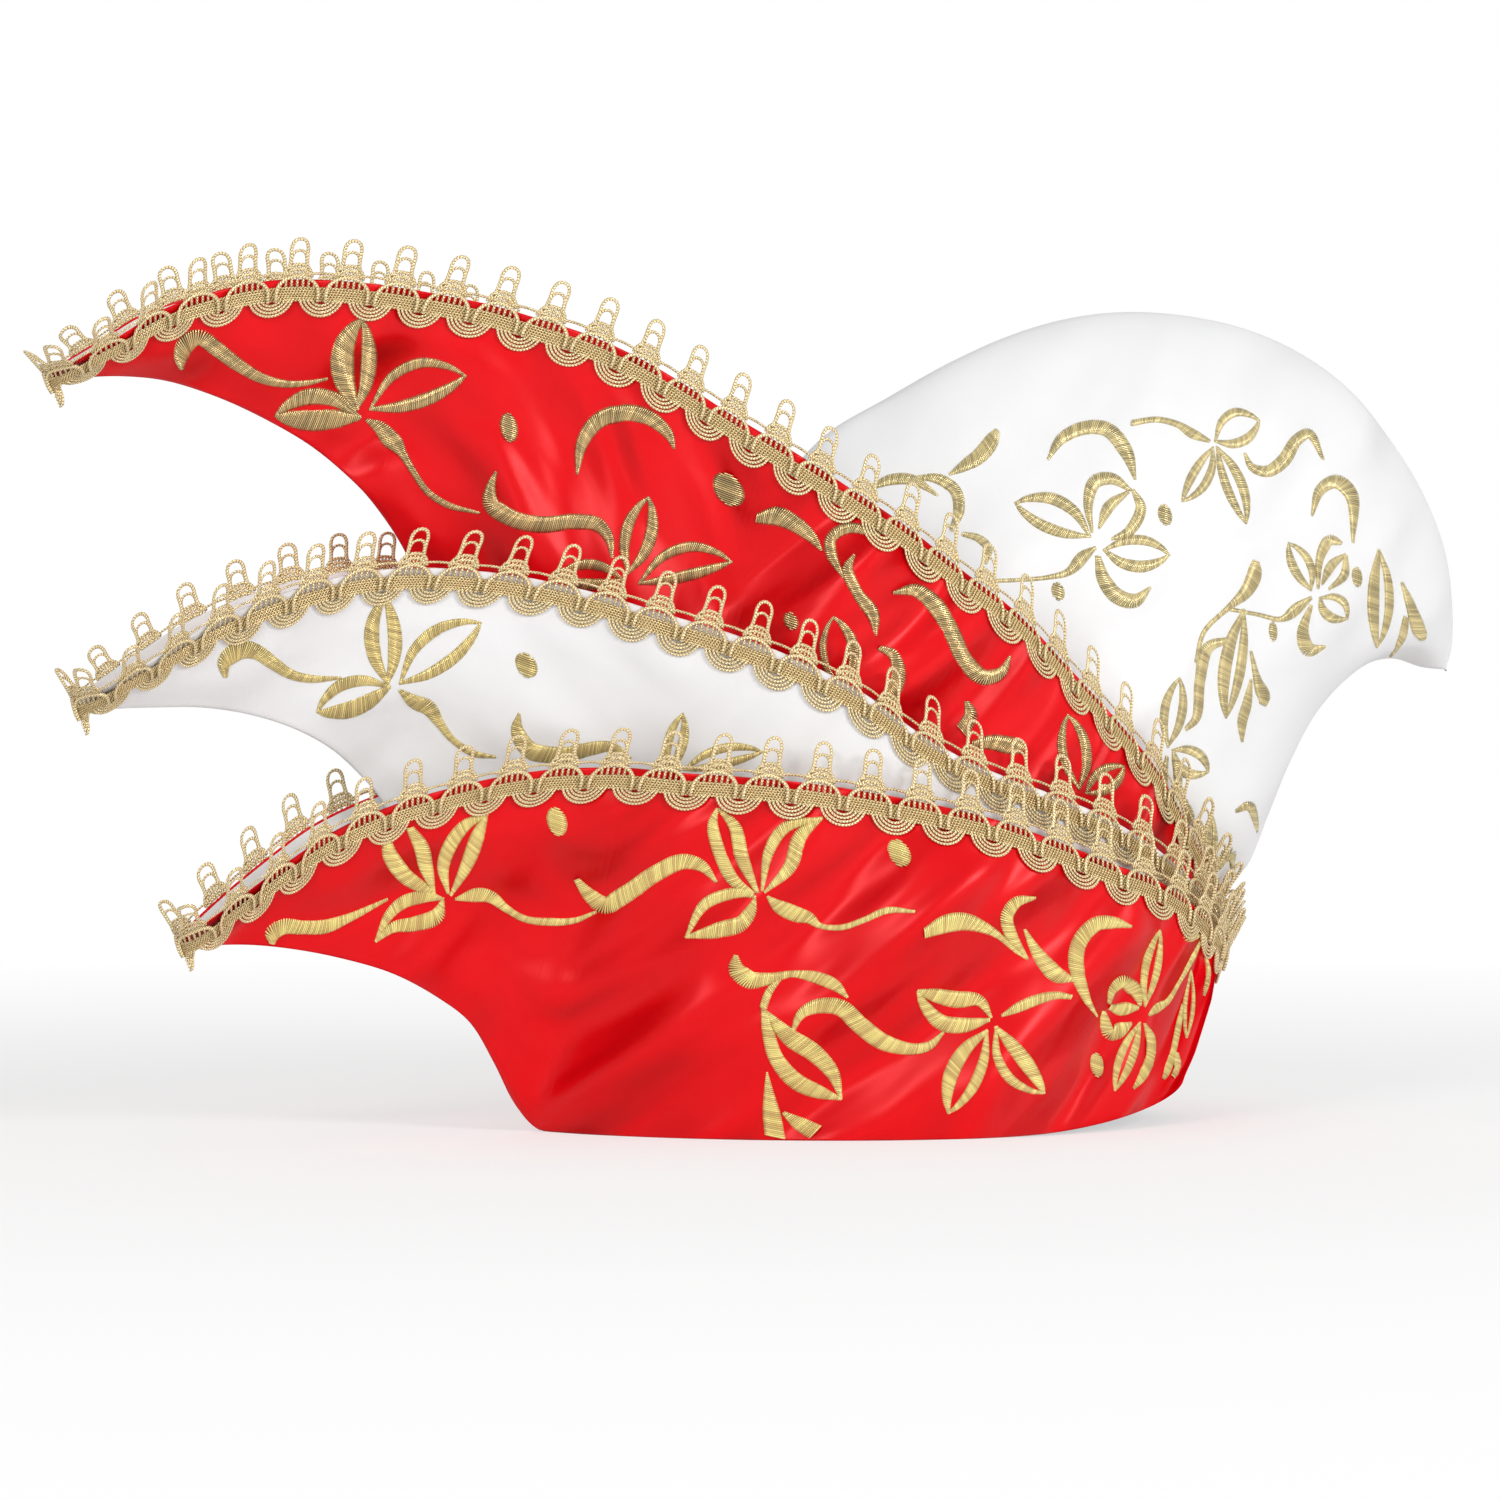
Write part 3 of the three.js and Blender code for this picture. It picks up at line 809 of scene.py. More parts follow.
EDGE_GUIDES = {"up": "FLOAT_VECTOR", "out": "FLOAT_VECTOR", "floor": "FLOAT", "lean": "FLOAT"}
# The far side's loops come later than the near side's, which takes up some length near the nape and the nose
FAR_SIDE = {"late": 0.36, "ramps": ((0.52, 0.62), (0.98, 0.88))}


def cord_tube(points, radius, sides, steps, tone):
    """A capped tube along a smooth run of points: vertices, faces, uv and tone."""
    line = curve_through(points, np.linspace(0, 1, steps + 1))
    along = unit(np.gradient(line, axis=0))
    across = unit(np.cross(along, (0, 1, 0)))
    other = np.cross(across, along)
    turn = np.linspace(0, 2 * np.pi, sides, endpoint=False)
    ring = across[:, None] * np.cos(turn)[None, :, None] + other[:, None] * np.sin(turn)[None, :, None]
    verts = (line[:, None] + radius * ring).reshape(-1, 3)
    faces = [tuple(f) for f in grid_faces(steps + 1, sides, closed_rows=True)]
    faces.append(tuple(range(sides)))
    faces.append(tuple(range(steps * sides + sides - 1, steps * sides - 1, -1)))
    shift = CORD_SHIFT * (points[0][0] + points[0][2])
    around = np.tile(turn / (2 * np.pi), steps + 1)
    uv = np.column_stack([around, np.repeat(run_length(line), sides) + shift])
    return verts, faces, uv, np.full(len(verts), tone)


def lace_cords(pitch):
    """Cords of one repeat: points x, off, z in millimetres, with the name of their cord."""
    for radius in SCALLOPS["radii"]:
        widest = math.acos((SCALLOPS["middle_z"] - SCALLOPS["tuck_z"]) / radius)
        turns = np.linspace(-widest, widest, SCALLOPS["knots"])
        yield "scallop", [
            (radius * math.sin(a), SCALLOPS["off"], SCALLOPS["middle_z"] - radius * math.cos(a))
            for a in turns
        ]
    for strand in range(BAND["strands"]):
        z = BAND["top_z"] - BAND["step"] * strand
        places = np.linspace(0, 1, BAND["knots"])
        ripple = BAND["ripple"] * np.cos(2 * np.pi * (places + strand / BAND["plies"]))
        yield "band", [(pitch * u, BAND["off"] + r, z) for u, r in zip(places, ripple)]
    yield "arch", both_halves(ARCH, pitch)
    for cord, bars in BARS.items():
        for u in np.linspace(-1, 1, bars["count"]):
            x = pitch / 2 + bars["reach"] * u
            high = bars["high_z"] - bars["fall"] * u * u
            yield cord, [(x, bars["off"], bars["low_z"]), (x, bars["off"], high)]
    for dome in DOMES:
        yield "dome", both_halves(dome, pitch)
    yield "tower", both_halves(TOWER, pitch)
    yield "inner_loop", both_halves(INNER_LOOP, pitch)
    yield "chain", [
        (pitch * u, CHAIN["off"], CHAIN["z"] + CHAIN["swing"] * math.cos(2 * np.pi * u))
        for u in np.linspace(0, 1, CHAIN["knots"])
    ]


def both_halves(points, pitch):
    """A cord that is symmetric about the middle of the repeat, from its left half."""
    other_half = [(pitch - x, off, z) for x, off, z in reversed(points)]
    return list(points) + other_half[1:]


def lace_unit(material, pitch):
    """One repeat of the lace, laid flat along +X with its loops up and its face towards -Y."""
    verts, faces, uvs, tones = [], [], [], []
    count = 0
    for cord, points in lace_cords(pitch):
        flipped = [(x, -off, z) for x, off, z in points]
        v, f, uv, t = cord_tube(flipped, **dict(zip(CORD_COLUMNS, CORDS[cord])))
        verts.append(v)
        faces += [tuple(k + count for k in face) for face in f]
        uvs.append(uv)
        tones.append(t)
        count += len(v)
    places = np.concatenate(verts) * MM
    piece = mesh_object("lace_unit", places, faces, [material], uv=np.concatenate(uvs))
    set_values(piece.data, "tone", np.concatenate(tones))
    return piece


def edge_guide(name, cut, outer_wall, sizes):
    """The closed line of a brim's top edge, with the lace's up and out directions, lowest reach and lean."""
    wall = BrimWall(cut, LACE_GUIDE["spacing"])
    up = unit(wall.top - wall.foot)
    along = wall.along.copy()
    along[0] = (0, -1, 0)
    along[-1] = (0, 1, 0)
    out = unit(np.cross(along, up))
    out *= np.sign(np.sum(out * wall.out, axis=1))[:, None]
    at_nose = 1 - smooth_step(wall.run, 0, LACE_GUIDE["nose_reach"])
    stand = sizes.lace_stand / MM + LACE_GUIDE["nose_stand"] * at_nose
    floor = np.full(len(up), LACE_GUIDE["free_floor"])
    if outer_wall is not None:
        floor = outer_wall.edge_height(wall.top[:, 0]) - wall.top[:, 2] + LACE_GUIDE["tier_clear"]
    line = wall.top + out * stand[:, None]
    line[[0, -1], 1] = 0
    points, ups, outs = (np.concatenate([v, mirrored(v)[-2:0:-1]]) for v in (line, up, out))
    floors, leans = (np.concatenate([v, v[-2:0:-1]]) for v in (floor, wall.lean))
    mesh = bpy.data.meshes.new(f"loop_lace_{name}")
    n = len(points)
    mesh.from_pydata(placed(points).tolist(), [(k, (k + 1) % n) for k in range(n)], [])
    for label, values in (("up", ups), ("out", outs), ("floor", floors * MM), ("lean", leans)):
        set_values(mesh, label, values)
    repeats = 2 * round(wall.run[-1] / (sizes.lace_pitch / MM))
    return add_object(f"loop_lace_{name}", mesh), repeats, wall


def lace_tree():
    """Repeats the unit along a line and bends the strip to the edge's up and out directions."""
    t = ShapeTree("lace_along_edge", {
        "Unit": "NodeSocketObject",
        "Repeats": "NodeSocketInt",
        "Pitch": "NodeSocketFloat",
        "Material": "NodeSocketMaterial",
    })
    step = t.node("ShaderNodeCombineXYZ", {"X": t.given["Pitch"]}).outputs["Vector"]
    row = t.node("GeometryNodeMeshLine", {"Count": t.given["Repeats"], "Offset": step}, mode="OFFSET")
    strip = t.copies(row.outputs["Mesh"], t.given["Unit"])
    edge = t.node("GeometryNodeMeshToCurve", {"Mesh": t.given["Geometry"]})
    place = t.node("ShaderNodeSeparateXYZ", {"Vector": t.node("GeometryNodeInputPosition").outputs[0]})
    total = t.math("MULTIPLY", t.given["Pitch"], t.given["Repeats"])
    share = t.math("FRACT", t.math("ADD", t.math("DIVIDE", place.outputs["X"], total), 1.0))
    late = t.math("DIVIDE", FAR_SIDE["late"], t.given["Repeats"])
    for start, end in FAR_SIDE["ramps"]:
        links = {"Value": share, "From Min": start, "From Max": end}
        ramp = t.node("ShaderNodeMapRange", links, interpolation_type="SMOOTHSTEP")
        late = t.math("MULTIPLY", late, ramp.outputs["Result"])
    share = t.math("SUBTRACT", share, late)
    sampled = {}
    for label, kind in EDGE_GUIDES.items():
        links = {"Curves": edge.outputs["Curve"], "Factor": share, "Value": t.attribute(label, kind)}
        sample = t.node("GeometryNodeSampleCurve", links, mode="FACTOR", data_type=kind)
        sampled[label] = sample.outputs["Value"]
        sampled["place"] = sample.outputs["Position"]
    rise = t.math("MAXIMUM", place.outputs["Z"], sampled["floor"])
    tilt = t.math("MULTIPLY", t.math("MAXIMUM", rise, 0.0), sampled["lean"])
    off = t.math("SUBTRACT", tilt, place.outputs["Y"])
    lifted = t.added(sampled["place"], t.scaled(sampled["up"], rise))
    bent = t.added(lifted, t.scaled(sampled["out"], off))
    shaped = t.node("GeometryNodeSetPosition", {"Geometry": strip, "Position": bent})
    t.finish(shaped.outputs["Geometry"])
    return t


class CAP_OT_lace(Operator):
    """Build the gold loop lace along the three brims"""

    bl_idname = "cap.lace"
    bl_label = "Loop lace"

    def execute(self, context):
        sizes = context.scene.cap_sizes
        material = gold_cord("gold_cord", context.scene.cap_colours.cord)
        unit_piece = lace_unit(material, round(sizes.lace_pitch / MM, 3))
        built = lace_tree()
        outer_wall = None
        for name, cut in BRIMS.items():
            piece, repeats, outer_wall = edge_guide(name, cut, outer_wall, sizes)
            bake_nodes(piece, built, {
                "Unit": unit_piece,
                "Repeats": repeats,
                "Pitch": sizes.lace_pitch,
                "Material": material,
            })
            finish_piece(piece, "gold_lace", f"lace_{name}")
        bpy.data.objects.remove(unit_piece)
        return {"FINISHED"}


# Embroidery: each figure is drawn on the photograph's frame, in its pixels, and laid on the panel behind it
# A knot of a stroke has x, y and half of the stroke's width
LEAF_COLUMNS = ("base_x", "base_y", "tip_x", "tip_y", "left", "left_half", "right", "right_half")
DOT_COLUMNS = ("x", "y", "half_wide", "half_tall")
STROKES = {
    "lower": {
        "blunt_scroll": (
            (272, 943, 3), (272, 934, 7.5), (283, 927, 8), (303, 927.5, 7), (326, 926.5, 7),
            (349, 918, 4.5), (368, 909, 3), (387, 899.5, 1.5),
        ),
        "first_left_outer": ((387, 838, 4), (391, 856, 8), (405, 876, 8), (421, 887, 6), (434, 894, 1.5)),
        "first_left_inner": ((410, 828, 4), (421, 846, 7.5), (426, 868, 7), (434, 893, 1.5)),
        "first_right_inner": (
            (487, 814.5, 1.5), (465, 826, 6), (450, 846, 7), (443, 868, 6), (448, 893, 1.5),
        ),
        "first_right_outer": ((487, 814.5, 1.5), (478, 836, 7), (467, 864, 6.5), (451, 895, 1.5)),
        "first_low_upper": (
            (443, 899, 1.5), (425, 897, 6), (404, 902, 6.5), (389, 915, 5), (376, 941, 1.5),
        ),
        "first_low_lower": (
            (443, 901, 2), (437, 916, 7.5), (414, 924, 7.5), (394, 927, 5.5), (376, 941, 1.5),
        ),
        "first_stem": (
            (456, 899, 1.5), (475, 895, 7), (490, 897, 6.5), (506, 908.5, 4), (525, 919, 3.5),
            (552, 922, 4), (575, 920.5, 3), (596, 912, 1.5),
        ),
        "wave_scroll": (
            (577, 880, 3), (590, 895, 7), (605, 904.5, 9), (628, 893, 9), (655, 874, 8.5), (682, 862, 8),
            (701, 866, 6), (716, 881.5, 1.5),
        ),
        "second_left_outer": (
            (717, 809, 1.5), (713, 825, 5.5), (720, 854, 6.5), (734, 881, 6), (753, 893, 1.5),
        ),
        "second_left_inner": ((719, 809, 1.5), (735, 827, 6), (742, 858, 7), (757, 892, 2)),
        "second_right_inner": ((822, 818, 1.5), (785, 828, 6), (769, 851, 5.5), (762, 890, 1.5)),
        "second_right_outer": ((822, 818, 1.5), (801, 836, 7), (790, 866, 7), (765, 892, 1.5)),
        "second_low_upper": (
            (755, 897, 1.5), (742, 893, 5), (722, 896, 6), (703, 906, 5.5), (686, 937, 1.5),
        ),
        "second_low_lower": ((755, 899, 1.5), (751, 911, 6), (740, 924, 8), (718, 930, 8), (686, 937, 1.5)),
        "second_stem": (
            (768, 897, 1.5), (780, 906.5, 7), (795, 914, 8), (809, 918.5, 6), (819, 925.5, 3),
            (841, 927.5, 3), (864, 920, 3), (887, 910.5, 3.5), (914, 911.5, 1.5),
        ),
        "teardrop_scroll": (
            (925, 933, 5), (945, 924, 9), (964, 922, 9), (983, 927.5, 6), (998, 935.5, 3.5), (1017, 952, 2),
            (1027, 959, 1),
        ),
        "small_crescent": (
            (1035, 898, 1.5), (1016, 903, 6), (1007, 917, 6.5), (1012, 937, 6), (1027, 958, 1.5),
        ),
        "slim_leaf": ((1025, 930, 1.5), (1034, 947, 5), (1046, 964, 8), (1058, 976, 8), (1073, 980, 2)),
        "big_crescent": (
            (1131, 926.5, 1.5), (1114, 923, 6), (1097, 924, 7.5), (1082, 938, 8), (1076, 957, 8),
            (1079, 979, 7), (1087, 1000, 4), (1097, 1016, 1),
        ),
        "hook_scroll": (
            (736, 956, 2.5), (738, 969.5, 9), (750, 980, 9), (769, 979, 6), (792, 974, 3.5), (815, 977, 6),
            (834, 985, 6), (847, 997, 1.5),
        ),
        "drop_stem": ((782, 976, 2), (769, 992, 4), (763, 1008, 4)),
        "drop_leaf_left": (
            (763, 1006, 2), (768, 1031, 6), (776, 1057.5, 7.5), (795, 1080.5, 8.5), (818, 1092, 7),
            (841, 1099, 1.5),
        ),
        "drop_leaf_right": (
            (766, 1012, 2), (790, 1037, 9), (815, 1054, 9), (832, 1073, 7), (841, 1098, 1.5),
        ),
        "low_s": (
            (792, 1033, 1.5), (801, 1014, 5), (818, 1006, 7.5), (841, 1008, 8.5), (860, 1025, 9),
            (883, 1042, 8.5), (910, 1049, 6), (929, 1046, 4.5), (943, 1033, 1.5),
        ),
        "third_left_upper": (
            (918, 991, 2), (933, 994.5, 6.5), (956, 999.5, 8.5), (979, 1001, 6), (991, 1017, 1.5),
        ),
        "third_left_lower": (
            (918, 992, 1.5), (924, 1004, 5), (941, 1022, 8), (964, 1025.5, 7.5), (989, 1020, 2),
        ),
        "third_stem": (
            (1002, 1015.5, 1.5), (1017, 1008, 5), (1036.5, 1000, 5.5), (1056, 995.5, 4), (1071, 997, 2.5),
        ),
        "rim_leaf": ((767, 1073, 1), (769, 1092, 5), (772, 1115, 9), (775, 1136, 10)),
        "rim_leaf_low": ((784, 1113, 2), (799, 1123, 7), (818, 1133, 8), (838, 1138, 3)),
        "fourth_petal_high": (
            (1140, 1005, 1.5), (1135, 991, 7), (1123, 982, 6.5), (1113, 989, 4.5), (1109, 1003, 2),
        ),
        "fourth_petal_left": ((1138, 1008, 2), (1123, 1009, 7), (1110, 1007, 3)),
        "fourth_petal_low": (
            (1131, 1024, 2), (1119, 1031, 8), (1109, 1032, 7), (1105, 1019, 4.5), (1104, 1012, 2),
        ),
        "fourth_petal_right": (
            (1145, 1024, 1.5), (1151, 1039, 5), (1150, 1058.5, 5), (1143, 1075, 5), (1134, 1088, 1.5),
        ),
        "fourth_stem": (
            (1149, 1015, 1.5), (1157, 1008, 4.5), (1167, 1002, 3), (1179, 983, 2), (1191, 961, 2.5),
            (1203, 936, 1.5),
        ),
        "side_leaf_far": ((1205, 952, 1.5), (1208, 974, 4), (1204, 995, 1.5)),
        "side_leaf_high": ((1188, 922, 2), (1189, 937, 5), (1202, 935, 1.5)),
        "side_stem": (
            (1182, 1005, 1.5), (1178, 1027, 4), (1173, 1051, 3.5), (1167, 1070, 4.5), (1163.5, 1078, 2),
        ),
        "side_end": ((1176, 1053, 3), (1177, 1068, 6), (1173, 1076, 3)),
    },
    "middle": {
        "hooked_scroll": (
            (225, 676.5, 2.5), (224, 662, 7), (238, 651, 10), (256, 652, 8), (274, 664, 6.5),
            (291, 674.5, 5), (312, 679, 4), (340, 678, 1.5),
        ),
        "stem": (
            (400, 690.5, 2), (414, 701, 7), (428, 708, 8), (438.5, 722, 5), (452.5, 739.5, 3.5),
            (474, 753.5, 3.5), (495, 757, 1.5),
        ),
        "scroll": (
            (519, 714, 1.5), (518, 731, 7), (530, 750, 9), (560, 755, 8), (590, 749, 7), (612, 747, 5),
            (630, 758, 1.5),
        ),
    },
    "upper": {
        "hooked_scroll": (
            (181, 369, 2.5), (180, 358, 7), (186, 345, 10), (200, 338, 8.5), (218, 350, 8), (238, 365, 7),
            (262, 378.5, 5.5), (287, 384, 4), (307, 383, 3), (327, 379, 1.5),
        ),
        "first_stem": (
            (367, 420, 2), (380, 427, 7), (392, 441, 9.5), (402, 453, 5), (413, 471, 3.5), (428, 492, 3.5),
            (448, 505, 3.5), (479, 513, 1.5),
        ),
        "high_crescent": (
            (577, 473.5, 1.5), (582, 443, 6.5), (598, 421, 8.5), (623, 413, 9), (649, 418, 8),
            (668, 434, 5.5), (674, 448, 1.5),
        ),
        "s_scroll": (
            (496, 472, 1.5), (491, 488, 5.5), (492, 504, 9), (513, 519, 9), (543, 524.5, 8.5),
            (575, 521.5, 8), (598, 525, 7.5), (609, 539, 5), (612, 557, 1.5),
        ),
        "teardrop": ((757, 518, 5), (776, 516, 10), (795, 524.5, 8.5), (811, 537, 6), (821, 550, 1.5)),
        "edge_crescent": ((843, 577, 1.5), (831, 553, 6), (832, 537, 6), (849, 528, 6), (879, 535, 3)),
        "bent_leaf": ((854, 555, 1.5), (848, 570, 6), (857, 592, 6), (872, 613, 7), (876, 635, 1.5)),
        "big_s": (
            (894, 592.5, 2), (916, 590, 7), (936, 606, 9), (952, 633, 8.5), (965, 660, 8.5),
            (983, 677, 8.5), (1001, 673, 6), (1010, 657, 1.5),
        ),
        "solid_crescent": ((880, 648, 3), (894, 655, 6), (898, 677, 8), (889, 697, 7), (876, 702, 3)),
        "petal_high": ((967, 702, 3), (971, 715, 7), (962, 731, 8)),
        "petal_right": ((972, 744, 4), (992, 742, 8), (1014, 746.5, 9), (1023, 749, 6)),
    },
    "crown": {
        "teardrop": ((950, 474, 1.5), (965, 465, 6), (979, 456, 8), (992, 441, 7.5), (997, 431, 3)),
        "edge_arc_left": ((871, 488, 2), (889, 480, 5.5), (912, 480, 5.5), (937, 495, 1.5)),
        "edge_arc_right": ((918, 477, 2), (939, 479, 5.5), (956, 492, 6), (958.5, 512, 5.5), (951, 530, 2)),
        "edge_hook": ((963, 534, 2.5), (978, 538, 4), (988, 548, 4.5), (985, 562, 3)),
        "long_crescent": (
            (1048, 459, 1.5), (1061, 439, 5.5), (1086, 427.5, 7), (1108, 430, 7.5), (1126, 452, 7),
            (1135, 479, 1.5),
        ),
        "top_stem": ((1132, 423, 3), (1157, 419.5, 3), (1179, 425, 3.5), (1193, 434, 5), (1209, 441, 2)),
        "top_scroll": (
            (1245, 454, 1.5), (1252, 467, 4), (1268, 471, 6), (1284, 460, 7), (1297, 440, 6),
            (1309, 434, 5), (1323, 459, 1.5),
        ),
        "back_crescent": (
            (1312, 515, 1.5), (1320, 490, 5.5), (1336, 481.5, 7), (1351, 495, 7), (1353, 542, 1.5),
        ),
        "first_high_outer": (
            (1092, 532, 1.5), (1088, 503, 5), (1095, 482, 7), (1112, 479, 6), (1130, 490, 2),
        ),
        "first_high_inner": ((1099, 528, 1.5), (1108, 508, 6), (1128, 492, 2)),
        "first_right_high": ((1133, 490, 2), (1141, 508, 5.5), (1130, 530, 5.5), (1112, 539, 1.5)),
        "first_down": ((1098, 557, 3), (1104, 579, 7), (1117, 596, 8), (1135, 601, 7), (1150, 588, 1.5)),
        "first_stem": (
            (1095, 548, 2), (1081, 559, 6.5), (1068, 572, 4), (1050, 577, 2.5), (1019, 580, 2),
            (990, 581, 2),
        ),
        "second_high_outer": ((1318, 588, 1.5), (1320, 557, 4.5), (1329, 541, 6), (1341, 543, 2)),
        "second_high_inner": ((1322, 584, 1.5), (1331, 566, 5), (1345, 555, 2)),
        "second_right_high": ((1346, 556, 2), (1344, 575, 4.5), (1329, 589, 1.5)),
        "second_down": ((1311, 606, 2), (1303, 632, 6), (1309, 650, 7), (1325, 647, 1.5)),
        "second_stem": ((1311, 598, 2), (1295, 610, 6), (1281, 619, 3), (1258, 614.5, 2), (1229, 609, 2)),
        "fall_stem": (
            (1256, 562, 4), (1255, 573, 7.5), (1247, 590, 7), (1228, 608, 3), (1204, 632, 2.5),
            (1196, 662, 2),
        ),
        "fall_curve": (
            (1228, 640, 3), (1208, 648, 6), (1200, 680, 5.5), (1196, 718, 4.5), (1186, 729, 2.5),
        ),
        "fall_drop": ((1251, 652, 1.5), (1257, 678, 4), (1263, 695, 7), (1263, 704, 4)),
        "fall_tip": ((1251, 680, 1.5), (1247, 704, 5), (1242, 722, 5), (1242, 741, 1.5)),
        "back_leaf": ((1402, 583, 1.5), (1411, 606, 5), (1420, 633, 6.5), (1423, 639, 3)),
        "back_low": ((1406, 618, 3), (1402, 637, 5), (1387, 662, 1.5)),
        "nape_petal_left": ((1167, 757, 2), (1164, 778, 4), (1167, 795, 1.5)),
        "nape_petal_right": ((1174, 757, 2), (1178, 782, 4.5), (1174, 800, 1.5)),
        "nape_hook": ((1186, 800, 1.5), (1189, 818, 5.5), (1178, 829, 2)),
        "nape_crescent": (
            (1236, 811, 2), (1249, 806, 5), (1255, 823, 5.5), (1252, 848, 5), (1245, 864, 4),
            (1235, 877, 1.5),
        ),
        "nape_petal_far": ((1219, 868, 2), (1224, 857, 6), (1230, 853, 6), (1232, 868, 2)),
    },
}
LEAVES = {
    "lower": {
        "third_down_left": (987, 1031, 948.5, 1113, 11, 5.5, 14, 7.5),
        "third_down_right": (996, 1027, 1044, 1093, 3, 7.5, 19, 5),
        "fourth_up": (1145, 1006, 1160, 931, 7, 4, 4.5, 3.5),
        "fourth_down": (1140, 1023, 1115, 1090, 4.5, 4, 6.5, 4),
        "side_leaf": (1191, 971, 1186.5, 1037, 4, 2.5, 4, 3),
    },
    "middle": {
        "first_up": (387.5, 683.5, 385, 597.5, 14, 7.5, 8.5, 7),
        "first_right": (400, 683.5, 480.5, 623, 21, 5.5, 11.5, 6),
        "first_left": (389.5, 687, 317.5, 711.5, 8, 8.5, 17, 6),
        "second_up": (668, 772, 683, 714, 7, 4.5, 7, 5),
        "second_right": (684, 770, 762, 752, 12, 4.5, 3, 4.5),
    },
    "upper": {
        "first_up": (356.5, 409, 362.5, 319.5, 17, 12, 9, 8),
        "first_right": (370, 409, 465.5, 376, 27, 5.5, 9, 7),
        "first_left": (360, 418, 276, 415.5, 3, 11, 20, 8.5),
        "second_up": (628, 573, 648.5, 497.5, 12, 6, 12, 6.5),
        "second_right": (639, 583.5, 731.5, 562, 24, 5.5, 3, 6),
        "second_left": (623, 580, 558, 576.5, 6, 6, 13.5, 5.5),
        "low_leaf": (842, 690, 833.5, 617, 14, 4, 16, 6),
        "third_up": (1079, 789, 1068, 715, 10.5, 5, 12.5, 5.5),
        "third_right": (1086, 793, 1124, 766.5, 9, 5, 9.5, 5),
    },
    "crown": {
        "top_right": (1215, 441, 1259, 420.5, 17.5, 4.5, 11.5, 5),
        "top_left": (1213, 447.5, 1182.5, 501, 11, 4.5, 4, 4.5),
        "top_down": (1217, 447, 1246, 523, 9.5, 5, 5, 4.5),
        "first_left": (1090, 536.5, 1015.5, 503, 9, 5.5, 19, 6),
        "first_right": (1104, 550, 1169, 555, 12.5, 5, 13.5, 6),
        "second_left": (1311, 590, 1289, 543.5, 6, 4.5, 10, 4),
        "second_right": (1320, 598, 1347, 618.5, 11, 4, 9, 5),
        "fall_leaf": (1244, 610, 1226, 717.5, 6, 5, 9, 6.5),
        "back_open": (1379, 550, 1377, 647, 11, 4.5, 4.5, 6),
        "nape_up": (1168, 746.5, 1179.5, 678.5, 9, 4.5, 8, 4.5),
        "nape_right": (1173, 750, 1208, 772, 10, 5, 12, 5.5),
        "nape_low": (1209, 874, 1212, 815, 3, 3.5, 4, 3),
    },
}
DOTS = {
    "lower": {"left": (557, 821.5, 10.5, 13), "middle": (899, 853, 12, 12), "right": (1097, 1065, 7, 11)},
    "middle": {"left": (526.5, 665, 11.5, 11)},
    "upper": {"left": (509, 427.5, 9.5, 13.5), "middle": (728.5, 489.5, 16.5, 15), "low": (791, 621, 8, 8)},
    "crown": {
        "first_low": (1058, 591.5, 7, 8),
        "first_high": (1165, 515, 7.5, 9.5),
        "second_low": (1273, 631.5, 4.5, 9),
        "second_high": (1357, 577, 5.5, 9),
    },
}
# Knots of a leaf as shares of its length, bow and half-width, and of a dot as shares of its half-sizes
LEAF_SHARES = ((0.0, 0.0, 0.25), (0.3, 0.85, 0.9), (0.62, 1.0, 1.0), (0.88, 0.5, 0.6), (1.0, 0.0, 0.2))
DOT_SHARES = ((-1.0, 0.3), (-0.75, 0.72), (0.0, 1.0), (0.75, 0.72), (1.0, 0.3))
LEAF_LEAST = 1.2
# Stitches: slant in degrees, shortest span in metres, the others counts and shares
STITCH = {
    "slant": 20.0,
    "longest": 1.7,
    "samples": 120,
    "fewest": 3,
    "shortest": 1e-4,
    "overlap": 1.1,
    "loft_share": 0.22,
}
# A thread's crest at shares of its span, and how far its shoulders lie below
THREAD = {
    "stations": ((-0.5, 0.12), (-0.36, 0.75), (0, 1.0), (0.36, 0.75), (0.5, 0.12)),
    "groove": 0.22,
}


def leaf_strokes(row):
    """The two strokes of an open leaf, bowed to either side of the line from its base to its tip."""
    leaf = dict(zip(LEAF_COLUMNS, row))
    base = np.array([leaf["base_x"], leaf["base_y"]])
    reach = np.array([leaf["tip_x"], leaf["tip_y"]]) - base
    side = np.array([reach[1], -reach[0]]) / np.linalg.norm(reach)
    for label, sign in (("left", 1), ("right", -1)):
        half = leaf[f"{label}_half"]
        yield [
            (*(base + along * reach + sign * bow * leaf[label] * side), max(LEAF_LEAST, share * half))
            for along, bow, share in LEAF_SHARES
        ]


def dot_stroke(row):
    """A dot as one short, fat upright stroke."""
    dot = dict(zip(DOT_COLUMNS, row))
    return [
        (dot["x"], dot["y"] + up * dot["half_tall"], share * dot["half_wide"])
        for up, share in DOT_SHARES
    ]


def panel_strokes(panel):
    """All strokes of a panel as lists of knots."""
    strokes = list(STROKES[panel].values())
    for row in LEAVES[panel].values():
        strokes += leaf_strokes(row)
    strokes += [dot_stroke(row) for row in DOTS[panel].values()]
    return strokes


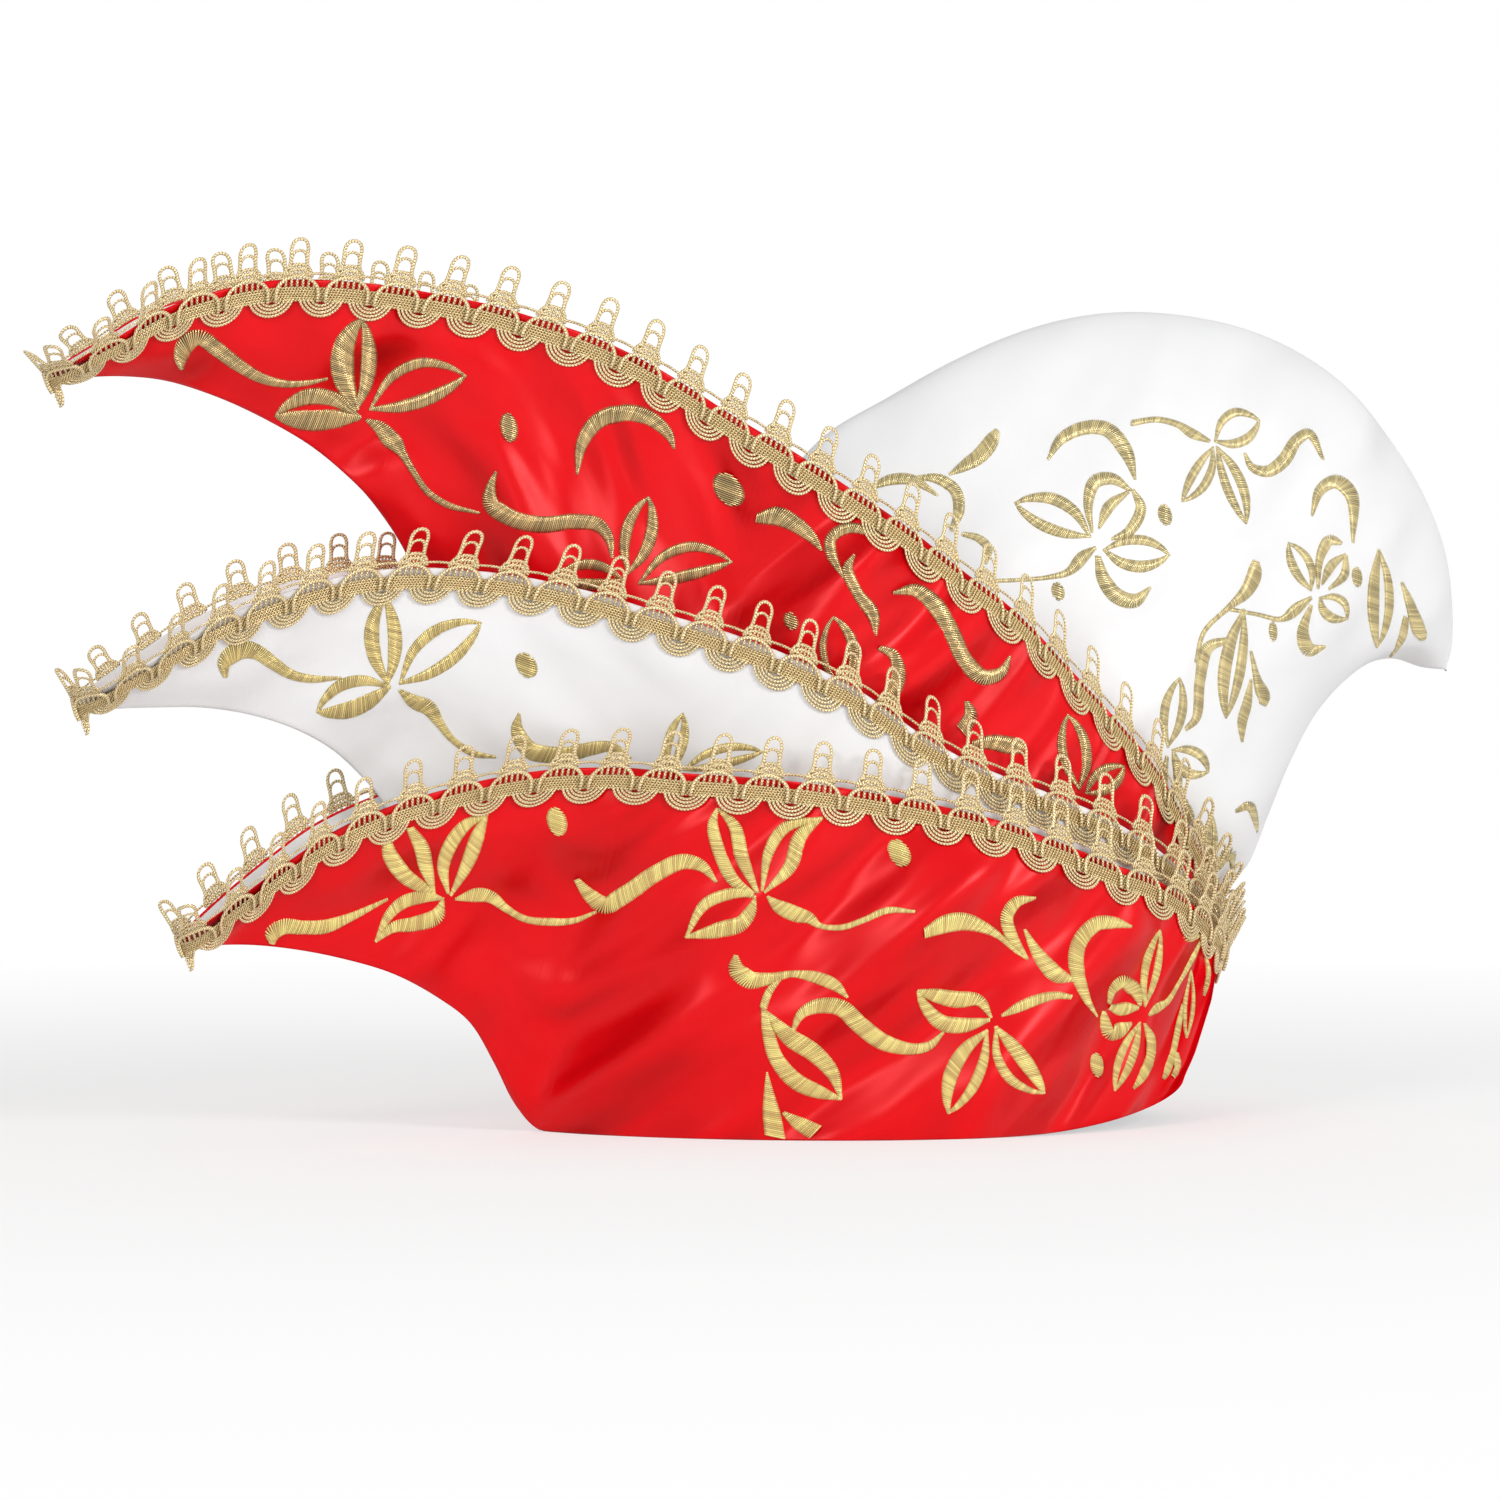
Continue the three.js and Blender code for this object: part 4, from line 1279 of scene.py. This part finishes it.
class PhotoRays:
    """Lines of sight of the photograph's camera through its pixels."""

    def __init__(self):
        self.right, self.up, self.back = photo_axes()
        self.eye = photo_eye()
        self.scale = PHOTO["mm_per_px"] * MM
        self.middle = PHOTO["side"] / 2

    def cast(self, surface, x, y):
        """Where the line through a pixel meets a surface, and the surface's normal towards the camera."""
        across = (x - self.middle) * self.scale
        above = (self.middle - y) * self.scale
        aim = self.right * across + self.up * above - self.back * PHOTO["distance"] * MM
        place, normal, _, _ = surface.ray_cast(self.eye, aim.normalized())
        if place is None:
            return None
        return place, normal if normal.dot(self.back) > 0 else -normal


def stitch_stroke(rays, surface, knots, spacing):
    """Threads across one stroke: rows of centre, across direction, facing direction and span."""
    fine = curve_through(knots, np.linspace(0, 1, STITCH["samples"]))
    hits = [rays.cast(surface, x, y) for x, y, _ in fine]
    fine = fine[[hit is not None for hit in hits]]
    if len(fine) < 2:
        return []
    run = run_length(np.array([hit[0] for hit in hits if hit is not None])) / MM
    count = max(STITCH["fewest"], int(run[-1] / spacing))
    even = np.linspace(0, run[-1], count)
    x, y, half = (np.interp(even, run, column) for column in fine.T)
    ahead = unit(np.column_stack([np.gradient(x), np.gradient(y)]))
    slant = math.tan(math.radians(STITCH["slant"]))
    reach = np.column_stack([ahead[:, 1], -ahead[:, 0]]) + slant * ahead
    threads = []
    for k in range(count):
        ends = [rays.cast(surface, *(np.array([x[k], y[k]]) + s * half[k] * reach[k])) for s in (1, -1)]
        if None in ends:
            continue
        (a, normal_a), (b, normal_b) = ends
        longest = STITCH["longest"] * 2 * half[k] * np.linalg.norm(reach[k]) * rays.scale
        span = min((b - a).length, longest)
        if span > STITCH["shortest"]:
            threads.append(((a + b) / 2, (b - a).normalized(), (normal_a + normal_b).normalized(), span))
    return threads


def thread_unit(material):
    """One thread as a low arch of unit span, width and height: a crest between two shoulders."""
    points = []
    for x, crest in THREAD["stations"]:
        shoulder = crest - THREAD["groove"]
        points += [(x, -0.5, shoulder), (x, 0.5, shoulder), (x, 0, crest)]
    last = len(points) - 3
    faces = [(2, 1, 0), tuple(range(last, last + 3))]
    for a in range(0, last, 3):
        faces += [(a + k, a + (k + 1) % 3, a + 3 + (k + 1) % 3, a + 3 + k) for k in range(3)]
    return mesh_object("thread_unit", points, faces, [material])


def stitch_tree():
    """Lays a thread on each point, along its across direction and facing out of the cloth."""
    t = ShapeTree("satin_stitch", {
        "Thread": "NodeSocketObject",
        "Width": "NodeSocketFloat",
        "Loft share": "NodeSocketFloat",
        "Highest loft": "NodeSocketFloat",
        "Material": "NodeSocketMaterial",
    })
    axes = {
        "Primary Axis": t.attribute("facing", "FLOAT_VECTOR"),
        "Secondary Axis": t.attribute("across", "FLOAT_VECTOR"),
    }
    turn = t.node("FunctionNodeAxesToRotation", axes, primary_axis="Z", secondary_axis="X")
    span = t.attribute("span", "FLOAT")
    loft = t.math("MINIMUM", t.math("MULTIPLY", span, t.given["Loft share"]), t.given["Highest loft"])
    size = t.node("ShaderNodeCombineXYZ", {"X": span, "Y": t.given["Width"], "Z": loft})
    places = {"Rotation": turn.outputs["Rotation"], "Scale": size.outputs["Vector"]}
    t.finish(t.copies(t.given["Geometry"], t.given["Thread"], **places))
    return t


def stitch_points(name, threads):
    """Points that carry the threads' directions and spans, on the near side and mirrored on the far side."""
    *vectors, spans = (np.array(column) for column in zip(*threads))
    centres, across, facing = (np.concatenate([v, mirrored(v)]) for v in vectors)
    rows = len(threads)
    mesh = bpy.data.meshes.new(name)
    mesh.from_pydata(centres.tolist(), [], [])
    set_values(mesh, "across", across)
    set_values(mesh, "facing", facing)
    set_values(mesh, "span", np.tile(spans, 2))
    set_values(mesh, "tone", np.random.default_rng(rows).random(2 * rows))
    return add_object(name, mesh)


class CAP_OT_embroidery(Operator):
    """Stitch the gold scrolls, leaves and dots on the brims and the crown"""

    bl_idname = "cap.embroidery"
    bl_label = "Embroidery"

    def execute(self, context):
        sizes = context.scene.cap_sizes
        colour = context.scene.cap_colours.thread
        materials = {panel: gold_thread(f"gold_thread_{panel}", colour, panel) for panel in STROKES}
        thread = thread_unit(materials["crown"])
        built = stitch_tree()
        rays = PhotoRays()
        for panel in STROKES:
            threads = []
            for knots in panel_strokes(panel):
                threads += stitch_stroke(rays, SURFACES[panel], knots, sizes.stitch / MM)
            piece = stitch_points(f"embroidery_{panel}", threads)
            bake_nodes(piece, built, {
                "Thread": thread,
                "Width": STITCH["overlap"] * sizes.stitch,
                "Loft share": STITCH["loft_share"],
                "Highest loft": sizes.loft,
                "Material": materials[panel],
            })
            finish_piece(piece, "gold_lace")
        bpy.data.objects.remove(thread)
        return {"FINISHED"}


# Materials
MADE = {}
MOTTLE_STOPS = (0.3, 0.7)
SATIN = {
    "red": {"mottle": 0.03, "folds": 1.0, "gloss": 1.0},
    "white": {"mottle": 0.012, "folds": 0.3, "gloss": 0.25},
}
SATIN_MOTTLE = {"Scale": 38.0, "Detail": 3.0}
SATIN_ROUGHNESS = {"To Min": 0.30, "To Max": 0.38}
SATIN_WEAVE = {"Scale": 700.0, "Distortion": 2.0, "Detail": 1.0}
SATIN_RELIEF = {"Strength": 0.05, "Distance": 0.0003}
FOLD_SHADES = (
    {"angle": 48.0, "long": 0.070, "short": 0.026, "depth": 0.0300},
    {"angle": 38.0, "long": 0.034, "short": 0.0115, "depth": 0.0034},
)
FOLD_NOISE = {"Scale": 1.0, "Detail": 0.0}
SHEEN = {"blend": 0.5, "full_to": 0.2, "none_from": 0.7, "white": 0.2}
LINING = {"tones": (0.93, 1.04), "roughness": 0.7}
LINING_MOTTLE = {"Scale": 60.0, "Detail": 4.0}
LINING_WEAVE = {"Scale": 1400.0}
LINING_RELIEF = {"Strength": 0.2, "Distance": 0.0002}
# Painted glint: the pale cream that the cord's ramp paints on its brightest strands
PAINTED_GLINT = (1.0, 0.87, 0.53)
BAND_SHADE = (0.90, 0.80, 0.52)
CORD_TWIST = {"Scale": 0.62, "Distortion": 0.6}
# Noise that scatters painted glints and painted dark specks along the cord
CORD_GLINT_NOISE = {"Scale": 1.3, "Detail": 2.0}
CORD_RELIEF = {"Strength": 0.6, "Distance": 0.0003}
CORD_FINISH = {"Metallic": 0.25, "Roughness": 0.25}
# Places on a cord's twist of the painted shade in its groove, the strand and the painted glint, and how dark
# the painted groove shade is
CORD_RAMPS = {
    "band": {"groove": 0.05, "strand": 0.22, "painted_glint": 0.38, "painted_groove_shade": 0.28},
    "loops": {"groove": 0.03, "strand": 0.11, "painted_glint": 0.25, "painted_groove_shade": 0.36},
}
# Sockets of a colour mix, which shares its names with mixes of other kinds
MIX_COLOURS = (6, 7)
MIX_RESULT = 2
# Each panel's thread: a tint that paints that panel's light and shade onto the one gold thread, and its
# metal share
THREAD_PAINTED_LIGHT_AND_METAL = {
    "lower": {"tint": (1.12, 1.1, 1.12), "metal": 0.15},
    "middle": {"tint": (0.95, 1.02, 1.25), "metal": 0.5},
    "upper": {"tint": (0.82, 0.85, 1.15), "metal": 0.75},
    "crown": {"tint": (0.88, 1.02, 1.5), "metal": 0.5},
}
THREAD_TONES = (0.66, 1.2)
THREAD_ROUGHNESS = 0.24


def new_material(name):
    """An empty node material with its shader."""
    material = bpy.data.materials.new(name)
    material.use_nodes = True
    shader = material.node_tree.nodes["Principled BSDF"]
    return material, material.node_tree, shader


def shades(tree, factor, stops):
    """A colour ramp with stops of place and colour."""
    ramp = add_node(tree, "ShaderNodeValToRGB", {"Fac": factor})
    elements = ramp.color_ramp.elements
    while len(elements) < len(stops):
        elements.new(0.5)
    for element, (place, colour) in zip(elements, stops):
        element.position = place
        element.color = (*colour, 1)
    return ramp.outputs["Color"]


def tinted(colour, factor):
    return tuple(min(1, max(0, c * factor)) for c in colour)


def mottled(tree, place, colour, texture, tones):
    """A colour that wanders between two tones, and the noise that moves it."""
    mottle = add_node(tree, "ShaderNodeTexNoise", {"Vector": place, **texture}).outputs["Fac"]
    stops = [(stop, tinted(colour, tone)) for stop, tone in zip(MOTTLE_STOPS, tones)]
    return shades(tree, mottle, stops), mottle


def slanting_bands(tree, place, texture):
    """Slanting stripes of a weave or a twist."""
    settings = {"wave_type": "BANDS", "bands_direction": "DIAGONAL"}
    return add_node(tree, "ShaderNodeTexWave", {"Vector": place, **texture}, **settings).outputs["Fac"]


def raised(tree, height, relief):
    """A normal that is bent by a height."""
    return add_node(tree, "ShaderNodeBump", {"Height": height, **relief}).outputs["Normal"]


def satin_folds(tree, place, normal, share):
    """A normal that is bent by the broad and the narrow folds of a panel."""
    panel = add_node(tree, "ShaderNodeAttribute", attribute_name="panel").outputs["Fac"]
    for fold in FOLD_SHADES:
        turned = add_node(tree, "ShaderNodeMapping", {
            "Vector": place,
            "Rotation": (0, 0, math.radians(fold["angle"])),
            "Scale": (fold["long"], fold["short"], 1),
        }, vector_type="TEXTURE")
        links = {"Vector": turned.outputs["Vector"], "W": panel, **FOLD_NOISE}
        crease = add_node(tree, "ShaderNodeTexNoise", links, noise_dimensions="4D")
        relief = {"Strength": 1.0, "Distance": fold["depth"] * share, "Normal": normal}
        normal = raised(tree, crease.outputs["Fac"], relief)
    return normal


def satin_cloth(name, colours):
    """Smooth satin in one of the two dyes: fine slanting weave, soft sheen and faint mottling."""
    label = f"{name}_satin"
    if label in MADE:
        return MADE[label]
    colour = tuple(getattr(colours, name))
    finish = SATIN[name]
    material, tree, shader = new_material(label)
    place = add_node(tree, "ShaderNodeTexCoord").outputs
    tones = (1 - finish["mottle"], 1 + finish["mottle"])
    base, mottle = mottled(tree, place["Object"], colour, SATIN_MOTTLE, tones)
    rough = add_node(tree, "ShaderNodeMapRange", {"Value": mottle, **SATIN_ROUGHNESS})
    weave = raised(tree, slanting_bands(tree, place["UV"], SATIN_WEAVE), SATIN_RELIEF)
    facing = add_node(tree, "ShaderNodeLayerWeight", {"Blend": SHEEN["blend"]})
    gloss = add_node(tree, "ShaderNodeMapRange", {
        "Value": facing.outputs["Facing"],
        "From Min": SHEEN["full_to"],
        "From Max": SHEEN["none_from"],
        "To Min": finish["gloss"],
        "To Max": 0.0,
    }, interpolation_type="SMOOTHSTEP")
    tint = (SHEEN["white"] + (1 - SHEEN["white"]) * c / max(colour) for c in colour)
    join(tree, shader, {
        "Base Color": base,
        "Roughness": rough.outputs["Result"],
        "Normal": satin_folds(tree, place["UV"], weave, finish["folds"]),
        "Specular IOR Level": gloss.outputs["Result"],
        "Specular Tint": (*tint, 1),
    })
    MADE[label] = material
    return material


def lining_cloth(label, colour):
    """Plain woven lining on the inner faces."""
    if label in MADE:
        return MADE[label]
    material, tree, shader = new_material(label)
    place = add_node(tree, "ShaderNodeTexCoord").outputs
    base, _ = mottled(tree, place["Object"], colour, LINING_MOTTLE, LINING["tones"])
    weave = add_node(tree, "ShaderNodeTexChecker", {"Vector": place["UV"], **LINING_WEAVE})
    join(tree, shader, {
        "Base Color": base,
        "Roughness": LINING["roughness"],
        "Normal": raised(tree, weave.outputs["Fac"], LINING_RELIEF),
    })
    MADE[label] = material
    return material


def cord_shades(tree, factor, colour, ramp):
    """Colours across a cord's twist, from painted shade in its groove to a painted glint."""
    groove = tinted(colour, ramp["painted_groove_shade"])
    return shades(tree, factor, ((ramp["groove"], groove), (ramp["strand"], colour), (ramp["painted_glint"], PAINTED_GLINT)))


def gold_cord(label, colour):
    """Twisted metallic cord: bright strands with painted shade in their grooves and painted glints, paler on
    the outer loops.
    """
    colour = tuple(colour)
    material, tree, shader = new_material(label)
    along = add_node(tree, "ShaderNodeTexCoord").outputs["UV"]
    twist = slanting_bands(tree, along, CORD_TWIST)
    glint_noise = add_node(tree, "ShaderNodeTexNoise", {"Vector": along, **CORD_GLINT_NOISE}).outputs["Fac"]
    twist_and_glints = add_node(tree, "ShaderNodeMath", {0: twist, 1: glint_noise}, operation="MULTIPLY").outputs[0]
    band = tuple(c * shade for c, shade in zip(colour, BAND_SHADE))
    tone = add_node(tree, "ShaderNodeAttribute", attribute_name="tone").outputs["Fac"]
    blend = add_node(tree, "ShaderNodeMix", {"Factor": tone}, data_type="RGBA")
    dyes = {"band": band, "loops": colour}
    # The ramps paint shade into the twist's grooves and glints on its strands, as painted light in the base
    # colour
    ramps = [cord_shades(tree, twist_and_glints, dyes[part], ramp) for part, ramp in CORD_RAMPS.items()]
    join(tree, blend, dict(zip(MIX_COLOURS, ramps)))
    join(tree, shader, {
        "Base Color": blend.outputs[MIX_RESULT],
        "Normal": raised(tree, twist, CORD_RELIEF),
        **CORD_FINISH,
    })
    return material


def gold_thread(label, colour, panel):
    """Metallic embroidery thread, one gold painted lighter or darker on each panel for the light there,
    which differs a little from stitch to stitch.
    """
    finish = THREAD_PAINTED_LIGHT_AND_METAL[panel]
    # Painted light: the panel's tint brightens or darkens the same gold
    colour = tuple(c * tint for c, tint in zip(colour, finish["tint"]))
    material, tree, shader = new_material(label)
    tone = add_node(tree, "ShaderNodeAttribute", attribute_name="tone").outputs["Fac"]
    stops = [(place, tinted(colour, shade)) for place, shade in enumerate(THREAD_TONES)]
    join(tree, shader, {
        "Base Color": shades(tree, tone, stops),
        "Metallic": finish["metal"],
        "Roughness": THREAD_ROUGHNESS,
    })
    return material


# Stage, in metres and watts
CAMERA = {"sensor_mm": 36.0, "clip_end": 50}
LIGHT_COLUMNS = ("name", "place", "size", "power")
LIGHTS = (
    ("key", (1.0, -2.1, 1.05), 0.8, 28.5),
    ("fill", (-1.7, -1.6, 1.3), 0.8, 18.5),
    ("top", (0.2, 0.3, 2.3), 1.4, 3.0),
    ("rear", (0.4, 2.2, 1.3), 1.6, 7.0),
)
SKY = {"lit": 0.46, "seen": 1.0}
FLOOR = {
    "half": 6.0,
    "plain_to": 0.3,
    "white_from": 1.0,
    "lift": 0.55,
    "tones": (0.985, 1.0),
    "roughness": 0.9,
}
FLOOR_MOTTLE = {"Scale": 3.0}


def photo_axes():
    """Right, up and back axes of the photograph's view."""
    az, el = math.radians(PHOTO["azimuth"]), math.radians(PHOTO["elevation"])
    back = Vector((math.sin(az) * math.cos(el), -math.cos(az) * math.cos(el), math.sin(el)))
    right = Vector((math.cos(az), math.sin(az), 0))
    return right, back.cross(right), back


def photo_eye():
    target = Vector(placed([PHOTO["target"]])[0])
    return target + photo_axes()[2] * PHOTO["distance"] * MM


def add_camera():
    """The camera at the photograph's viewing angle."""
    right, up, back = photo_axes()
    width = PHOTO["side"] * PHOTO["mm_per_px"]
    data = bpy.data.cameras.new("photo_view")
    data.sensor_width = CAMERA["sensor_mm"]
    data.lens = CAMERA["sensor_mm"] * PHOTO["distance"] / width
    data.clip_end = CAMERA["clip_end"]
    camera = add_object("photo_view", data)
    turn = Matrix((right, up, back)).transposed().to_4x4()
    camera.matrix_world = Matrix.Translation(photo_eye()) @ turn
    bpy.context.scene.camera = camera


def add_light(name, place, size, power):
    """A square soft light aimed at the cap."""
    data = bpy.data.lights.new(name, "AREA")
    data.size = size
    data.energy = power
    lamp = add_object(name, data)
    lamp.location = place
    aim = Vector((0, 0, PHOTO["target"][2] * MM)) - Vector(place)
    lamp.rotation_euler = aim.to_track_quat("-Z", "Y").to_euler()


def add_floor(colour):
    """A wide pale floor, faintly mottled, which fades into the sky where the camera sees it."""
    half = FLOOR["half"]
    corners = [(-half, -half, 0), (half, -half, 0), (half, half, 0), (-half, half, 0)]
    material, tree, shader = new_material("studio_floor")
    place = add_node(tree, "ShaderNodeTexCoord").outputs["Object"]
    base, _ = mottled(tree, place, colour, FLOOR_MOTTLE, FLOOR["tones"])
    join(tree, shader, {"Base Color": base, "Roughness": FLOOR["roughness"], "Specular IOR Level": 0.0})
    away = add_node(tree, "ShaderNodeVectorMath", {0: place}, operation="LENGTH")
    fade = add_node(tree, "ShaderNodeMapRange", {
        "Value": away.outputs["Value"],
        "From Min": FLOOR["plain_to"],
        "From Max": FLOOR["white_from"],
        "To Min": FLOOR["lift"],
    })
    sight = add_node(tree, "ShaderNodeLightPath")
    links = {0: fade.outputs["Result"], 1: sight.outputs["Is Camera Ray"]}
    shown = add_node(tree, "ShaderNodeMath", links, operation="MULTIPLY")
    glow = add_node(tree, "ShaderNodeEmission", {"Strength": SKY["seen"]})
    blend = add_node(tree, "ShaderNodeMixShader", {
        0: shown.outputs[0],
        1: shader.outputs["BSDF"],
        2: glow.outputs["Emission"],
    })
    join(tree, tree.nodes["Material Output"], {"Surface": blend.outputs["Shader"]})
    floor = mesh_object("studio_floor", corners, [(0, 1, 2, 3)], [material])


def add_sky():
    """A white sky that looks brighter to the camera than to the cap."""
    world = bpy.data.worlds.new("studio")
    world.use_nodes = True
    tree = world.node_tree
    sight = add_node(tree, "ShaderNodeLightPath")
    strength = add_node(tree, "ShaderNodeMapRange", {
        "Value": sight.outputs["Is Camera Ray"],
        "To Min": SKY["lit"],
        "To Max": SKY["seen"],
    })
    links = {"Color": (1, 1, 1, 1), "Strength": strength.outputs["Result"]}
    join(tree, tree.nodes["Background"], links)
    bpy.context.scene.world = world


class CAP_OT_stage(Operator):
    """Add the camera, the soft lights and the pale floor"""

    bl_idname = "cap.stage"
    bl_label = "Stage"

    def execute(self, context):
        add_camera()
        for light in LIGHTS:
            add_light(**dict(zip(LIGHT_COLUMNS, light)))
        add_floor(tuple(context.scene.cap_colours.floor))
        add_sky()
        context.scene.view_settings.view_transform = "Standard"
        return {"FINISHED"}


class CAP_PT_panel(Panel):
    """Lists the cap's pieces in the sidebar"""

    bl_label = "Carnival Cap"
    bl_space_type = "VIEW_3D"
    bl_region_type = "UI"
    bl_category = "Cap"

    def draw(self, context):
        column = self.layout.column()
        for operator in OPERATORS:
            column.operator(operator.bl_idname)
        for settings in (context.scene.cap_sizes, context.scene.cap_colours):
            for label in settings.__annotations__:
                column.prop(settings, label)


OPERATORS = (CAP_OT_stage, CAP_OT_brims, CAP_OT_crown, CAP_OT_lace, CAP_OT_embroidery)
CLASSES = (CapSizes, CapColours, *OPERATORS, CAP_PT_panel)


def register():
    for entry in CLASSES:
        bpy.utils.register_class(entry)
    bpy.types.Scene.cap_sizes = PointerProperty(type=CapSizes)
    bpy.types.Scene.cap_colours = PointerProperty(type=CapColours)


def unregister():
    del bpy.types.Scene.cap_colours
    del bpy.types.Scene.cap_sizes
    for entry in reversed(CLASSES):
        bpy.utils.unregister_class(entry)


def main():
    register()
    bpy.ops.cap.stage()
    bpy.ops.cap.brims()
    bpy.ops.cap.crown()
    bpy.ops.cap.lace()
    bpy.ops.cap.embroidery()


if __name__ == "__main__":
    main()
